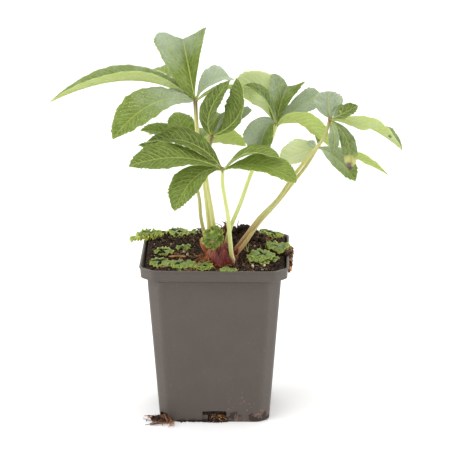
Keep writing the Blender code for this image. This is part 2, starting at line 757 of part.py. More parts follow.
def build():
    pot = make_pot()
    soil = make_soil()
    combine(soil, [crown_lump("crown hole", CLEARANCE), *make_sockets("soil")], "DIFFERENCE")
    combine(make_crown(), make_sockets("crown"), "DIFFERENCE")
    for number, leaf in enumerate(LEAVES, 1):
        make_stem(f"stem_{number}", leaf)
        make_leaf(f"leaf_{number}", leaf)
    make_liverworts(soil, pot)
    make_frill()
    make_bark(height_finder(soil))
    make_roots()


build()
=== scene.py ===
"""A young hellebore in a square nursery pot, dressed for a studio picture.

Lengths are in metres unless a name or a comment says millimetres. The side of
the plant that shows best faces -Y, and the pot stands on the floor at height 0.
"""

import math
import random

import bmesh
import bpy
import numpy as np
from mathutils import Euler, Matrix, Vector, noise


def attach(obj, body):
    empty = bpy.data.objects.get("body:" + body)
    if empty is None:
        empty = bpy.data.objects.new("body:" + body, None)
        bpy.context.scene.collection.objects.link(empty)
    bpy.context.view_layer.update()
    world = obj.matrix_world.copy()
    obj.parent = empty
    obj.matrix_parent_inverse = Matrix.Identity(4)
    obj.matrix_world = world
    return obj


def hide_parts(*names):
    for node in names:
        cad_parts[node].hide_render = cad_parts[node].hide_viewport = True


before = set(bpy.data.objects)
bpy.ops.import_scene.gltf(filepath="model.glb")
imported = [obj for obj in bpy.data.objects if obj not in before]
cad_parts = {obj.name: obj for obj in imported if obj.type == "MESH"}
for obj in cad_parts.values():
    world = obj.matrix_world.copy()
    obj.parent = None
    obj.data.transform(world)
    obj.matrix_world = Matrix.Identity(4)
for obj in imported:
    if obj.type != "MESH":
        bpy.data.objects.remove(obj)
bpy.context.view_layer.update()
MM = 0.001


# Studio: a pale floor and a white surround, lit softly from the upper left,
# with the camera a little above the plant and far away, so that upright lines
# stay nearly parallel.

CAMERA_PLACE = (0.04226, -1.57900, 0.55271)
CAMERA_AZIMUTH = math.radians(1.3)
CAMERA_ELEVATION = math.radians(15.5)
CAMERA_LENS = 213.8  # in mm, on a sensor 36 mm wide
AIM = Vector((0.0, 0.0, 0.13))  # what the lamps point at
SOFTBOXES = (  # name, place, side in metres, watts
    ("key_softbox", (-0.7, -0.9, 1.9), 1.3, 15),
    ("left_softbox", (-1.6, -0.1, 0.5), 1.0, 10),
    ("right_softbox", (1.6, -0.1, 0.6), 1.0, 11),
    ("back_softbox", (0.2, 1.3, 1.6), 1.3, 12),
)
SURROUND_STRENGTH = 0.88
FLOOR_SIDE = 9.0


def add(tree, kind, inputs=None, **settings):
    """A new shader node. An input is a plain value, or the socket that feeds it."""
    made = tree.nodes.new("ShaderNode" + kind)
    for name, value in settings.items():
        setattr(made, name, value)
    for name, value in (inputs or {}).items():
        if isinstance(value, bpy.types.NodeSocket):
            tree.links.new(value, made.inputs[name])
        elif made.inputs[name].type == "RGBA":
            made.inputs[name].default_value = (*value, 1)
        else:
            made.inputs[name].default_value = value
    return made


def new_finish(name, inputs):
    """A material with these values on its Principled shader, and its node tree."""
    made = bpy.data.materials.new(name)
    made.use_nodes = True
    shader = made.node_tree.nodes["Principled BSDF"]
    for socket, value in inputs.items():
        shader.inputs[socket].default_value = value
    return made, made.node_tree, shader


def make_studio():
    lens = bpy.data.cameras.new("camera")
    lens.lens = CAMERA_LENS
    camera = bpy.data.objects.new("camera", lens)
    camera.location = CAMERA_PLACE
    camera.rotation_euler = (math.pi / 2 - CAMERA_ELEVATION, 0, CAMERA_AZIMUTH)
    bpy.context.scene.collection.objects.link(camera)
    bpy.context.scene.camera = camera
    for name, place, side, watts in SOFTBOXES:
        lamp = bpy.data.lights.new(name, "AREA")
        lamp.size = side
        lamp.energy = watts
        softbox = bpy.data.objects.new(name, lamp)
        softbox.location = place
        softbox.rotation_euler = (AIM - Vector(place)).to_track_quat("-Z", "Y").to_euler()
        bpy.context.scene.collection.objects.link(softbox)
    world = bpy.data.worlds.new("surround")
    world.use_nodes = True
    world.node_tree.nodes["Background"].inputs["Color"].default_value = (1, 1, 1, 1)
    world.node_tree.nodes["Background"].inputs["Strength"].default_value = SURROUND_STRENGTH
    bpy.context.scene.world = world
    bpy.context.scene.view_settings.view_transform = "Standard"

    mesh = bmesh.new()
    bmesh.ops.create_grid(mesh, size=FLOOR_SIDE / 2)
    data = bpy.data.meshes.new("floor")
    mesh.to_mesh(data)
    mesh.free()
    paper, tree, shader = new_finish("pale paper", {"Roughness": 0.9})
    texture = add(tree, "TexNoise", {"Scale": 40.0, "Detail": 4.0})
    tint = add(
        tree, "Mix", {0: texture.outputs["Fac"], 6: (0.93, 0.93, 0.93), 7: (0.96, 0.96, 0.96)},
        data_type="RGBA",
    )
    tree.links.new(tint.outputs[2], shader.inputs["Base Color"])
    data.materials.append(paper)
    floor = bpy.data.objects.new("floor", data)
    bpy.context.scene.collection.objects.link(floor)


make_studio()


# Pot: a thin, square, injection-moulded pot of dark grey polypropylene with
# cut corners, a stepped collar that it stacks by, and drain slots round its
# foot. It is scuffed and dusty, with wet peat stuck to it near the ground.

POT_HEIGHT = 0.099
RIM_HALF = 0.045  # half the outer width of the lip
POT_OUTSIDE = (  # mm: height, half the outer width, and how much the corner is cut
    (0.0, 32.9, 5.6), (0.8, 33.5, 5.7), (84.0, 39.93, 7.4), (89.8, 40.4, 9.2),
    (90.6, 40.8, 7.2), (92.2, 44.1, 8.0), (97.5, 44.4, 8.0), (98.0, 45.0, 8.2), (99.0, 45.0, 8.2),
)
POT_INSIDE = (
    (99.0, 43.9, 8.0), (97.6, 43.4, 7.9), (92.2, 43.1, 7.9), (90.6, 39.8, 7.2),
    (89.8, 39.4, 7.2), (1.5, 32.5, 5.8),
)
EDGE_SOFTNESS = 0.35 * MM  # how far the moulded edges are rounded
CORNER_SOFTNESS, CORNER_STEPS = 2.6 * MM, 5
SIDE_PIECES, PEAT_SIDE_PIECES = 8, 12  # of each straight side
WALL_BOW = 0.25 * MM  # how far a wall bows inward between its corners
SLOT_WIDTH, SLOT_HEIGHT, SLOT_DEPTH = 0.0150, 0.0070, 0.0060
CORNER_SLOT, CORNER_SLOT_HEIGHT = 0.0070, 0.0049
WHOLE_CORNER = 1  # the front right corner, whose slot is closed by a skin of flash
PANEL_WIDTH, PANEL_DEPTH = 0.0036, 0.0002  # the left end of a slot doesn't break through
POT_GREY = (0.071, 0.054, 0.044)
POT_OTHER_GREY = (0.077, 0.060, 0.049)
FLOW_MARK = (0.10, 0.09, 0.078)  # where the plastic ran up the mould
SCUFF = (0.20, 0.18, 0.16)
DUST = (0.28, 0.22, 0.16)
SPLASH = (0.30, 0.13, 0.05)
STUCK_PEAT = (0.035, 0.020, 0.013)


def maths(tree, operation, *terms):
    return add(tree, "Math", dict(enumerate(terms)), operation=operation).outputs[0]


def ramp(tree, value, low, high, start=0.0, end=1.0):
    """A smooth step from start to end while the value goes from low to high."""
    inputs = {"Value": value, "From Min": low, "From Max": high, "To Min": start, "To Max": end}
    return add(tree, "MapRange", inputs, interpolation_type="SMOOTHSTEP").outputs["Result"]


def times(tree, one, two):
    return maths(tree, "MULTIPLY", one, two)


def plus(tree, one, two):
    return maths(tree, "ADD", one, two)


def scaled(tree, value, factor, start):
    """start plus the value times its factor."""
    return maths(tree, "MULTIPLY_ADD", value, factor, start)


def mix(tree, share, one, two):
    return add(tree, "Mix", {0: share, 6: one, 7: two}, data_type="RGBA").outputs[2]


def stained(tree, colour, mask, amount, stain):
    """The colour, with this amount of a stain where the mask is."""
    return mix(tree, times(tree, mask, amount), colour, stain)


def grain(tree, place, scale, detail=2.0):
    inputs = {"Vector": place, "Scale": scale, "Detail": detail}
    return add(tree, "TexNoise", inputs).outputs["Fac"]


def cell_edges(tree, place, scale):
    """How far a place is from the edge of its cell."""
    inputs = {"Vector": place, "Scale": scale}
    return add(tree, "TexVoronoi", inputs, feature="DISTANCE_TO_EDGE").outputs["Distance"]


def split(tree, place):
    """The sockets X, Y and Z of a place."""
    return add(tree, "SeparateXYZ", {"Vector": place}).outputs


def stretched(tree, place, factors):
    """The place scaled by one factor along each axis."""
    inputs = {"Vector": place, "Scale": factors}
    return add(tree, "Mapping", inputs).outputs["Vector"]


def object_place(tree):
    return add(tree, "TexCoord").outputs["Object"]


def uv_place(tree, name):
    return add(tree, "UVMap", uv_map=name).outputs["UV"]


def coat(tree, shader, colour, height, depth):
    """Gives the shader its colour and a relief of this depth in metres."""
    tree.links.new(colour, shader.inputs["Base Color"])
    inputs = {"Height": height, "Distance": depth, "Strength": 1.0}
    tree.links.new(add(tree, "Bump", inputs).outputs["Normal"], shader.inputs["Normal"])


def new_group(name, takes, gives):
    """A shader node group: its tree, its input sockets and its output sockets."""
    group = bpy.data.node_groups.new(name, "ShaderNodeTree")
    for title, kind, value in takes:
        socket = group.interface.new_socket(title, in_out="INPUT", socket_type="NodeSocket" + kind)
        socket.default_value = (*value, 1) if kind == "Color" else value
    for title, kind in gives:
        group.interface.new_socket(title, in_out="OUTPUT", socket_type="NodeSocket" + kind)
    return group, group.nodes.new("NodeGroupInput").outputs, group.nodes.new("NodeGroupOutput").inputs


def make_mottled():
    """Two colours in soft blotches, as in anything that grew or was mixed."""
    group, takes, gives = new_group(
        "mottled",
        (("Colour", "Color", (0.5, 0.5, 0.5)), ("Other Colour", "Color", (0.2, 0.2, 0.2)),
         ("Scale", "Float", 100.0), ("Amount", "Float", 1.0)),
        (("Colour", "Color"), ("Value", "Float")),
    )
    clouds = grain(group, object_place(group), takes["Scale"], 4.0)
    value = times(group, ramp(group, clouds, 0.32, 0.68), takes["Amount"])
    group.links.new(mix(group, value, takes["Colour"], takes["Other Colour"]), gives["Colour"])
    group.links.new(value, gives["Value"])
    return group


def make_specks():
    """Small scattered dots of uneven size, such as dust, grit or splashes."""
    group, takes, gives = new_group(
        "specks",
        (("Scale", "Float", 300.0), ("Size", "Float", 0.2), ("Crowding", "Float", 0.5)),
        (("Mask", "Float"),),
    )
    place = object_place(group)
    spots = add(group, "TexVoronoi", {"Vector": place, "Scale": takes["Scale"]})
    patches = grain(group, place, times(group, takes["Scale"], 0.12), 2.0)
    chance = add(group, "SeparateColor", {"Color": spots.outputs["Color"]}).outputs["Red"]
    kept = maths(group, "LESS_THAN", chance, times(group, patches, takes["Crowding"]))
    near = times(group, takes["Size"], 0.5)
    disc = ramp(group, spots.outputs["Distance"], takes["Size"], near)
    group.links.new(times(group, disc, kept), gives["Mask"])
    return group


MOTTLED = make_mottled()
SPECKS = make_specks()


def mottle(tree, colour, other, scale, **inputs):
    """The colour that the mottled group gives."""
    inputs = {"Colour": colour, "Other Colour": other, "Scale": scale, **inputs}
    return add(tree, "Group", inputs, node_tree=MOTTLED).outputs["Colour"]


def speckle(tree, scale, size, crowding):
    """The mask that the specks group gives."""
    inputs = {"Scale": scale, "Size": size, "Crowding": crowding}
    return add(tree, "Group", inputs, node_tree=SPECKS).outputs["Mask"]


def mottled_finish(name, roughness, colour, other, scale, relief_scale, depth):
    """A plain mottled skin with a fine grain."""
    made, tree, shader = new_finish(name, {"Roughness": roughness})
    relief = grain(tree, object_place(tree), relief_scale, 3.0)
    coat(tree, shader, mottle(tree, colour, other, scale), relief, depth)
    return made


def pot_plastic():
    made, tree, shader = new_finish("dusty grey polypropylene", {"IOR": 1.49})
    place = object_place(tree)
    body = mottle(tree, POT_GREY, POT_OTHER_GREY, 55.0)
    flow = grain(tree, stretched(tree, place, (1.0, 1.0, 0.12)), 420.0, 4.0)
    scratches = ramp(tree, grain(tree, stretched(tree, place, (1.0, 1.0, 0.25)), 900.0, 2.0), 0.66, 0.74)
    worn = ramp(tree, grain(tree, place, 45.0, 2.0), 0.5, 0.66)
    scuffs = times(tree, scratches, worn)
    dust = speckle(tree, 1100.0, 0.30, 0.08)
    sides = split(tree, place)
    height = sides["Z"]
    right = ramp(tree, sides["X"], 0.004, 0.014)
    low = times(tree, ramp(tree, height, 0.013, 0.001), scaled(tree, right, 0.55, 0.46))
    splash = ramp(tree, grain(tree, place, 190.0, 5.0), 0.60, 0.48)
    soiled = ramp(tree, plus(tree, low, splash), 1.42, 1.62)
    bits = speckle(tree, 720.0, 0.62, 0.8)
    drifts = ramp(tree, grain(tree, place, 260.0, 3.0), 0.50, 0.60)
    strewn = times(tree, ramp(tree, height, 0.024, 0.008), drifts)
    splashed = times(tree, bits, strewn)
    splashed = times(tree, splashed, scaled(tree, right, 0.85, 0.15))

    colour = stained(tree, body, flow, 0.22, FLOW_MARK)
    colour = stained(tree, colour, scuffs, 0.35, SCUFF)
    colour = stained(tree, colour, dust, 0.35, DUST)
    colour = stained(tree, colour, splashed, 0.7, SPLASH)
    colour = stained(tree, colour, soiled, 0.9, STUCK_PEAT)
    dull = plus(tree, times(tree, flow, 0.12), 0.40)
    dull = plus(tree, dull, times(tree, soiled, 0.4))
    tree.links.new(dull, shader.inputs["Roughness"])
    relief = plus(tree, times(tree, flow, 0.25), soiled)
    relief = plus(tree, relief, times(tree, bits, 0.5))
    coat(tree, shader, colour, relief, 0.12 * MM)
    return made


def rounded(profile, reach):
    """A line of points with each inner corner turned into a short curve."""
    points = [Vector(p) * MM for p in profile]
    softened = [points[0]]
    for before, corner, after in zip(points, points[1:], points[2:]):
        start = corner + (before - corner) * min(reach / (before - corner).length, 0.4)
        end = corner + (after - corner) * min(reach / (after - corner).length, 0.4)
        softened += [start, start / 4 + corner / 2 + end / 4, end]
    return [*softened, points[-1]]


def cut_square(half, cut, pieces=SIDE_PIECES, bow=0.0):
    """Points round a square whose corners are cut and rounded."""
    quarter = []
    for corner, arrive, leave in (
        (Vector((half, half - cut)), Vector((0, 1)), Vector((-1, 1)).normalized()),
        (Vector((half - cut, half)), Vector((-1, 1)).normalized(), Vector((-1, 0))),
    ):
        start, end = corner - arrive * CORNER_SOFTNESS, corner + leave * CORNER_SOFTNESS
        for k in range(CORNER_STEPS + 1):
            t = k / CORNER_STEPS
            quarter.append((1 - t) ** 2 * start + 2 * t * (1 - t) * corner + t**2 * end)
    reach = half - cut - CORNER_SOFTNESS
    for k in range(1, pieces):
        x = reach * (1 - 2 * k / pieces)
        quarter.append(Vector((x, half - bow * (1 - (x / reach) ** 2))))
    ring = []
    for cosine, sine in ((1, 0), (0, 1), (-1, 0), (0, -1)):
        ring += [Vector((p.x * cosine - p.y * sine, p.x * sine + p.y * cosine)) for p in quarter]
    return ring


def cutting_box(low, high, turn):
    """A hidden box that cuts a hole, turned about the pot's centre line."""
    mesh = bmesh.new()
    bmesh.ops.create_cube(mesh, size=1)
    for corner in mesh.verts:
        corner.co = Vector(high[axis] if corner.co[axis] > 0 else low[axis] for axis in range(3))
    bmesh.ops.bevel(mesh, geom=mesh.edges[:], offset=0.5 * MM, segments=2, affect="EDGES")
    data = bpy.data.meshes.new("cutter")
    mesh.to_mesh(data)
    mesh.free()
    cutter = bpy.data.objects.new("cutter", data)
    cutter.rotation_euler.z = turn
    return cutter


def make_pot():
    mesh = bmesh.new()
    rings = []
    for z, half, cut in rounded(POT_OUTSIDE + POT_INSIDE, EDGE_SOFTNESS):
        bow = WALL_BOW * math.sin(math.pi * min(z / POT_HEIGHT, 1))
        rings.append([mesh.verts.new((x, y, z)) for x, y in cut_square(half, cut, bow=bow)])
    count = len(rings[0])
    for low, high in zip(rings, rings[1:]):
        for k in range(count):
            j = (k + 1) % count
            mesh.faces.new((low[k], low[j], high[j], high[k]))
    mesh.faces.new(rings[0][::-1])
    mesh.faces.new(rings[-1])
    foot = POT_OUTSIDE[0][1] * MM
    corner = foot * math.sqrt(2) - POT_OUTSIDE[0][2] * MM * math.sqrt(0.5)
    cutters = []
    for quarter in range(4):
        turn = quarter * math.pi / 2
        cutters.append(cutting_box(
            (-SLOT_WIDTH / 2 + PANEL_WIDTH, -foot - 0.01, -0.01),
            (SLOT_WIDTH / 2, -foot + SLOT_DEPTH, SLOT_HEIGHT), turn,
        ))
        cutters.append(cutting_box(
            (-SLOT_WIDTH / 2, -foot - 0.01, -0.01),
            (-SLOT_WIDTH / 2 + PANEL_WIDTH + 0.001, -foot + PANEL_DEPTH, SLOT_HEIGHT), turn,
        ))
        if quarter != WHOLE_CORNER:
            cutters.append(cutting_box(
                (-CORNER_SLOT / 2, -corner - 0.01, -0.01),
                (CORNER_SLOT / 2, -corner + SLOT_DEPTH, CORNER_SLOT_HEIGHT), turn - math.pi / 4,
            ))
    data = bpy.data.meshes.new("nursery_pot")
    mesh.to_mesh(data)
    mesh.free()
    pot = bpy.data.objects.new("nursery_pot", data)
    bpy.context.scene.collection.objects.link(pot)
    holes = bpy.data.collections.new("holes")
    bpy.context.scene.collection.children.link(holes)
    for cutter in cutters:
        holes.objects.link(cutter)
    bpy.context.view_layer.update()
    boolean = pot.modifiers.new("slots", "BOOLEAN")
    boolean.operand_type = "COLLECTION"
    boolean.collection = holes
    graph = bpy.context.evaluated_depsgraph_get()
    pot.data = bpy.data.meshes.new_from_object(pot.evaluated_get(graph))
    pot.modifiers.clear()
    for cutter in cutters:
        bpy.data.objects.remove(cutter)
    bpy.data.collections.remove(holes)
    pot.data.materials.clear()
    pot.data.materials.append(pot_plastic())
    pot.data.shade_smooth()
    pot.data.set_sharp_from_angle(angle=math.radians(35))
    return pot


pot = make_pot()
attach(pot, "root")
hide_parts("pot")


# Peat: a crumbly bed of dark compost that fills the pot to just under its rim
# and is heaped up behind the crown. Crumbs and lumps lie loose on it, with
# root hairs and wood fibres through them and a few pale grains of grit.

PEAT_FRONT = 0.0945  # height of the peat along the front
PEAT_RISE = 0.0045  # how much higher it lies along the back
SLOPE_START, SLOPE_LENGTH = -0.030, 0.065
HEAP = Vector((0.014, 0.016))
HEAP_HEIGHT, HEAP_SPREAD = 0.008, 0.019
HEAP_PILE = 0.0045  # how high loose lumps are piled on the heap
CRUMBLE = 1.0 * MM
SWELL_SCALE, RIPPLE_SCALE = 150, 400  # of the bed's noise, to the metre
CLOD_SCALE, CRUMB_SCALE, GRAIN_SCALE = 320, 800, 1700
PEAT_RINGS = 100  # from the middle of the bed to the wall
RING_GAIN = 8  # points that each ring has more than the one inside it
PEAT_SIDES = ((1.9, 31.9, 5.8), (89.9, 38.9, 7.2), (90.9, 39.4, 7.2), (92.6, 42.7, 7.9))
CRUMBS = 1900
LUMPS = 120
FIBRES = 300
HEAP_FIBRES = 34  # that stand up out of the heap
FIBRE_BENDS = 6
SMALL_GRIT = 50
PEAT_DARK, PEAT_BROWN = (0.006, 0.0035, 0.0028), (0.038, 0.021, 0.013)
PEAT_CRUMB = (0.080, 0.042, 0.024)
PEAT_SPECK = (0.20, 0.105, 0.048)


class Bits:
    """The points, faces, finishes and UV maps of the bits that make up one piece."""

    def __init__(self, *maps):
        self.points, self.faces, self.finishes = [], [], []
        self.maps = {name: [] for name in maps}
        self.count = 0

    def take(self, points, faces, finish=0, **maps):
        """Adds a bit. finish is one number, or one for each of its faces."""
        points = np.asarray(points, float).reshape(-1, 3)
        if isinstance(faces, np.ndarray):
            self.faces += (faces + self.count).tolist()
        else:
            self.faces += [[k + self.count for k in face] for face in faces]
        self.finishes += [finish] * len(faces) if isinstance(finish, int) else list(finish)
        self.points.append(points)
        self.count += len(points)
        for name, values in maps.items():
            self.maps[name].append(np.asarray(values, float).reshape(-1, 2))

    def strand(self, path, radii, sides, finish=0):
        """Adds a closed tube round a path."""
        points, faces, _, _ = tube(path, radii, sides)
        self.take(points, faces, finish)

    def wisp(self, points, steps, radius, thin, sides, finish=0):
        """Adds a strand through some points that tapers to this share of its radius."""
        self.strand(smooth_path(points, steps), radius * np.linspace(1, thin, steps + 1), sides, finish)

    def piece(self, name, *finishes):
        """One object with all the bits, shaded smooth."""
        data = bpy.data.meshes.new(name)
        data.from_pydata(np.concatenate(self.points).tolist(), [], self.faces)
        corners = np.empty(len(data.loops), int)
        data.loops.foreach_get("vertex_index", corners)
        for title, values in self.maps.items():
            layer = data.uv_layers.new(name=title)
            layer.data.foreach_set("uv", np.concatenate(values)[corners].astype(np.float32).ravel())
        for finish in finishes:
            data.materials.append(finish)
        data.polygons.foreach_set("material_index", self.finishes)
        data.shade_smooth()
        made = bpy.data.objects.new(name, data)
        bpy.context.scene.collection.objects.link(made)
        return made


def peat_height(x, y):
    """The height of the bed at a place in the pot, without its crumbs."""
    back = min(max((y - SLOPE_START) / SLOPE_LENGTH, 0), 1)
    height = PEAT_FRONT + PEAT_RISE * back * back * (3 - 2 * back)
    height += HEAP_HEIGHT * math.exp(-(((Vector((x, y)) - HEAP).length / HEAP_SPREAD) ** 2))
    fade = 1 - min(max(abs(x), abs(y)) / RIM_HALF, 1) ** 4
    rough = noise.noise(Vector((x, y, 0)) * SWELL_SCALE)
    rough += 0.5 * noise.noise(Vector((y, x, 1)) * RIPPLE_SCALE)
    return height + CRUMBLE * rough * fade


def crumbled_height(x, y):
    """The bed's height with its crumbs, clods and pits."""
    near_heap = math.exp(-(((Vector((x, y)) - HEAP).length / HEAP_SPREAD) ** 2))
    clods = noise.noise(Vector((x, y, 3)) * CLOD_SCALE)
    crumbs = noise.noise(Vector((x, y, 5)) * CRUMB_SCALE)
    crumbs += 0.5 * noise.noise(Vector((x, y, 6)) * GRAIN_SCALE)
    return peat_height(x, y) + MM * ((0.7 + 1.3 * near_heap) * clods + 0.6 * crumbs)


def peat_finish():
    made, tree, shader = new_finish("moist peat", {"Roughness": 0.93, "Specular IOR Level": 0.25})
    place = object_place(tree)
    body = mottle(tree, PEAT_DARK, PEAT_BROWN, 380.0, Amount=0.9)
    fine = ramp(tree, grain(tree, place, 2600.0, 3.0), 0.45, 0.75)
    colour = stained(tree, body, fine, 0.5, PEAT_CRUMB)
    dots = speckle(tree, 1100.0, 0.5, 0.30)
    colour = mix(tree, dots, colour, PEAT_SPECK)
    coat(tree, shader, colour, grain(tree, place, 2200.0, 5.0), 0.5 * MM)
    return made


def make_peat_bed(finish):
    """The bed: a fine crumbled top, and plain sides that only the slots show."""
    bits = Bits()
    top_z, half, cut = (value * MM for value in PEAT_SIDES[-1])
    outline = cut_square(half, cut, PEAT_SIDE_PIECES)
    spans = len(outline)
    points = [(0, 0, crumbled_height(0, 0))]
    starts = [0]
    faces = []
    for ring in range(1, PEAT_RINGS + 1):
        share = ring / PEAT_RINGS
        starts.append(len(points))
        count = RING_GAIN * ring
        for k in range(count):
            along = k * spans / count
            one, two = outline[int(along)], outline[(int(along) + 1) % spans]
            x, y = one.lerp(two, along % 1) * share
            points.append((x, y, top_z if ring == PEAT_RINGS else crumbled_height(x, y)))
        inner_count = max(count - RING_GAIN, 1)
        for k in range(count):
            outer, after = starts[-1] + k, starts[-1] + (k + 1) % count
            inner = starts[-2] + int(k * inner_count / count + 0.5) % inner_count
            inner_after = starts[-2] + int((k + 1) * inner_count / count + 0.5) % inner_count
            faces.append((inner, outer, after))
            if inner != inner_after:
                faces.append((inner, after, inner_after))
    count = RING_GAIN * PEAT_RINGS
    rim = points[starts[-1]:]
    previous = starts[-1]
    for z, half_here, _ in rounded(PEAT_SIDES[::-1], EDGE_SOFTNESS)[1:]:
        start = len(points)
        inset = half_here / half
        points += [(x * inset, y * inset, z) for x, y, _ in rim]
        for k in range(count):
            j = (k + 1) % count
            faces.append((previous + j, previous + k, start + k, start + j))
        previous = start
    faces.append([previous + k for k in range(count)][::-1])
    bits.take(points, faces)
    return bits.piece("peat_bed", finish)


def crumb_shapes(count, subdivisions, seed):
    """Points of some irregular crumbs about 1 across the radius, and their faces."""
    shapes = []
    for number in range(count):
        mesh = bmesh.new()
        bmesh.ops.create_icosphere(mesh, subdivisions=subdivisions, radius=1)
        shift = Vector((seed, number * 3.7, 0))
        points = []
        for vertex in mesh.verts:
            lump = 1 + 0.45 * noise.noise(vertex.co * 1.3 + shift)
            lump += 0.25 * noise.noise(vertex.co * 3.5 + shift)
            points.append(vertex.co * lump)
        faces = np.array([[v.index for v in face.verts] for face in mesh.faces])
        shapes.append((np.array(points), faces))
        mesh.free()
    return shapes


def strew(bits, draw, shape, place, radius, squash=1.0, finish=0):
    """Adds one crumb at a place, turned at random."""
    points, faces = shape
    turn = np.array(Euler([draw.uniform(0, math.tau) for _ in range(3)]).to_matrix())
    sizes = np.array([draw.uniform(0.7, 1.3), draw.uniform(0.7, 1.3), draw.uniform(0.6, 1.0)])
    turned = (points * sizes) @ turn.T * radius
    turned[:, 2] *= squash
    bits.take(turned + np.array(place), faces, finish)


def smooth_path(points, count):
    """Points along the Catmull-Rom curve that passes through all of points."""
    knots = [Vector(p) for p in points]
    knots = [2 * knots[0] - knots[1], *knots, 2 * knots[-1] - knots[-2]]
    spans = len(knots) - 3
    path = []
    for step in range(count + 1):
        along = min(step * spans / count, spans - 1e-9)
        k = int(along)
        t = along - k
        a, b, c, d = knots[k : k + 4]
        path.append(
            0.5 * (2 * b + (c - a) * t + (2 * a - 5 * b + 4 * c - d) * t**2
                   + (3 * b - a - 3 * c + d) * t**3)
        )
    return np.array(path)


def tube(path, radii, sides):
    """Points, faces and the turn and the run of each point of a closed tube.

    radii has one radius for each point of the path, or one for each of its
    points all round.
    """
    path = np.asarray(path, float)
    travel = np.gradient(path, axis=0)
    travel /= np.linalg.norm(travel, axis=1, keepdims=True)
    side = np.array(Vector(travel[0]).orthogonal().normalized())
    turns = np.arange(sides) * math.tau / sides
    radii = np.asarray(radii, float)
    if radii.ndim == 1:
        radii = np.repeat(radii[:, None], sides, axis=1)
    rings = []
    for centre, along, radius in zip(path, travel, radii):
        side = side - side @ along * along
        side /= np.linalg.norm(side)
        other = np.cross(along, side)
        ring = np.outer(np.cos(turns) * radius, side) + np.outer(np.sin(turns) * radius, other)
        rings.append(centre + ring)
    rows = len(path)
    number = np.arange(rows * sides).reshape(rows, sides)
    low, high = number[:-1], number[1:]
    quads = np.stack([low, np.roll(low, -1, 1), np.roll(high, -1, 1), high], -1).reshape(-1, 4)
    faces = [*quads.tolist(), number[0][::-1].tolist(), number[-1].tolist()]
    lengths = np.r_[0, np.cumsum(np.linalg.norm(np.diff(path, axis=0), axis=1))]
    return np.concatenate(rings), faces, np.tile(turns, rows), np.repeat(lengths, sides)


def add_fibre(bits, draw, start, heading, length, radius, lie, wander=0.9, finish=0):
    """A thin strand that wanders over the peat from start. lie gives the height to keep."""
    points = []
    x, y = start
    for _ in range(FIBRE_BENDS + 1):
        points.append((x, y, lie(x, y) + radius + draw.uniform(0, 0.9) * MM))
        heading += draw.uniform(-wander, wander)
        x += math.cos(heading) * length / FIBRE_BENDS
        y += math.sin(heading) * length / FIBRE_BENDS
    bits.wisp(points, 12, radius, 0.4, 5, finish)


def fibre_finish(name, colour, other):
    made, tree, shader = new_finish(name, {"Roughness": 0.75})
    streaks = grain(tree, stretched(tree, object_place(tree), (1.0, 0.3, 1.0)), 3000.0, 2.0)
    coat(tree, shader, mottle(tree, colour, other, 260.0), streaks, 0.15 * MM)
    return made


def inside_pot(draw, margin=0.0035):
    """A random place on the peat, a little way in from the wall."""
    half, cut = PEAT_SIDES[-1][1] * MM - margin, PEAT_SIDES[-1][2] * MM
    while True:
        x, y = draw.uniform(-half, half), draw.uniform(-half, half)
        if abs(x) + abs(y) < 2 * half - cut:
            return x, y


PEAT = peat_finish()
WOOD_FIBRE = fibre_finish("orange brown fibre", (0.50, 0.22, 0.07), (0.24, 0.09, 0.03))
ROOT_HAIR = fibre_finish("brown root", (0.20, 0.085, 0.030), (0.07, 0.03, 0.012))
STRAW = fibre_finish("straw", (0.42, 0.30, 0.15), (0.24, 0.14, 0.06))
BROWN_CRUMB = fibre_finish("brown crumb", (0.11, 0.058, 0.028), (0.030, 0.016, 0.010))


def make_crumbs():
    draw = random.Random(11)
    bits = Bits()
    small, large = crumb_shapes(7, 2, 1), crumb_shapes(5, 3, 2)
    for _ in range(CRUMBS):
        x, y = inside_pot(draw)
        radius = draw.uniform(0.25, 0.6 + 0.6 * draw.random()) * MM
        place = (x, y, crumbled_height(x, y) + radius * 0.4)
        strew(bits, draw, draw.choice(small), place, radius, finish=draw.choice((0, 0, 0, 1)))
    for _ in range(LUMPS):
        x, y = draw.gauss(HEAP.x - 0.002, 0.0085), draw.gauss(HEAP.y, 0.0065)
        near = math.exp(-(((Vector((x, y)) - HEAP).length / 0.012) ** 2))
        radius = draw.uniform(0.9, 2.1) * MM
        place = (x, y, crumbled_height(x, y) + HEAP_PILE * near * draw.random() ** 1.5)
        strew(bits, draw, draw.choice(large), place, radius)
    return bits.piece("peat_crumbs", PEAT, BROWN_CRUMB)


def make_fibres():
    draw = random.Random(12)
    bits = Bits()
    for number in range(FIBRES):
        start = inside_pot(draw, 0.008)
        if number % 5 == 0:
            start = draw.gauss(HEAP.x, 0.008), draw.gauss(HEAP.y, 0.006)
        length = draw.uniform(3, 10) * MM
        radius = draw.uniform(0.10, 0.24) * MM
        add_fibre(bits, draw, start, draw.uniform(0, math.tau), length, radius, crumbled_height,
                  finish=draw.choice((0, 0, 0, 1, 2)))
    for _ in range(HEAP_FIBRES):
        x, y = draw.gauss(HEAP.x - 0.006, 0.0025), draw.gauss(HEAP.y, 0.003)
        lie = crumbled_height(x, y) + HEAP_PILE * 0.4
        lean, tall = draw.uniform(-1.0, 0.7), draw.uniform(3.0, 6.5) * MM
        points = (
            (x, y, lie - 1.0 * MM), (x + 0.2 * lean * tall, y, lie + 0.5 * tall),
            (x + lean * tall, y + draw.uniform(-0.4, 0.4) * tall, lie + draw.uniform(0.7, 1) * tall),
        )
        bits.wisp(points, 10, draw.uniform(0.22, 0.50) * MM, 0.4, 5, draw.choice((0, 0, 0, 1)))
    return bits.piece("peat_fibres", ROOT_HAIR, WOOD_FIBRE, STRAW)


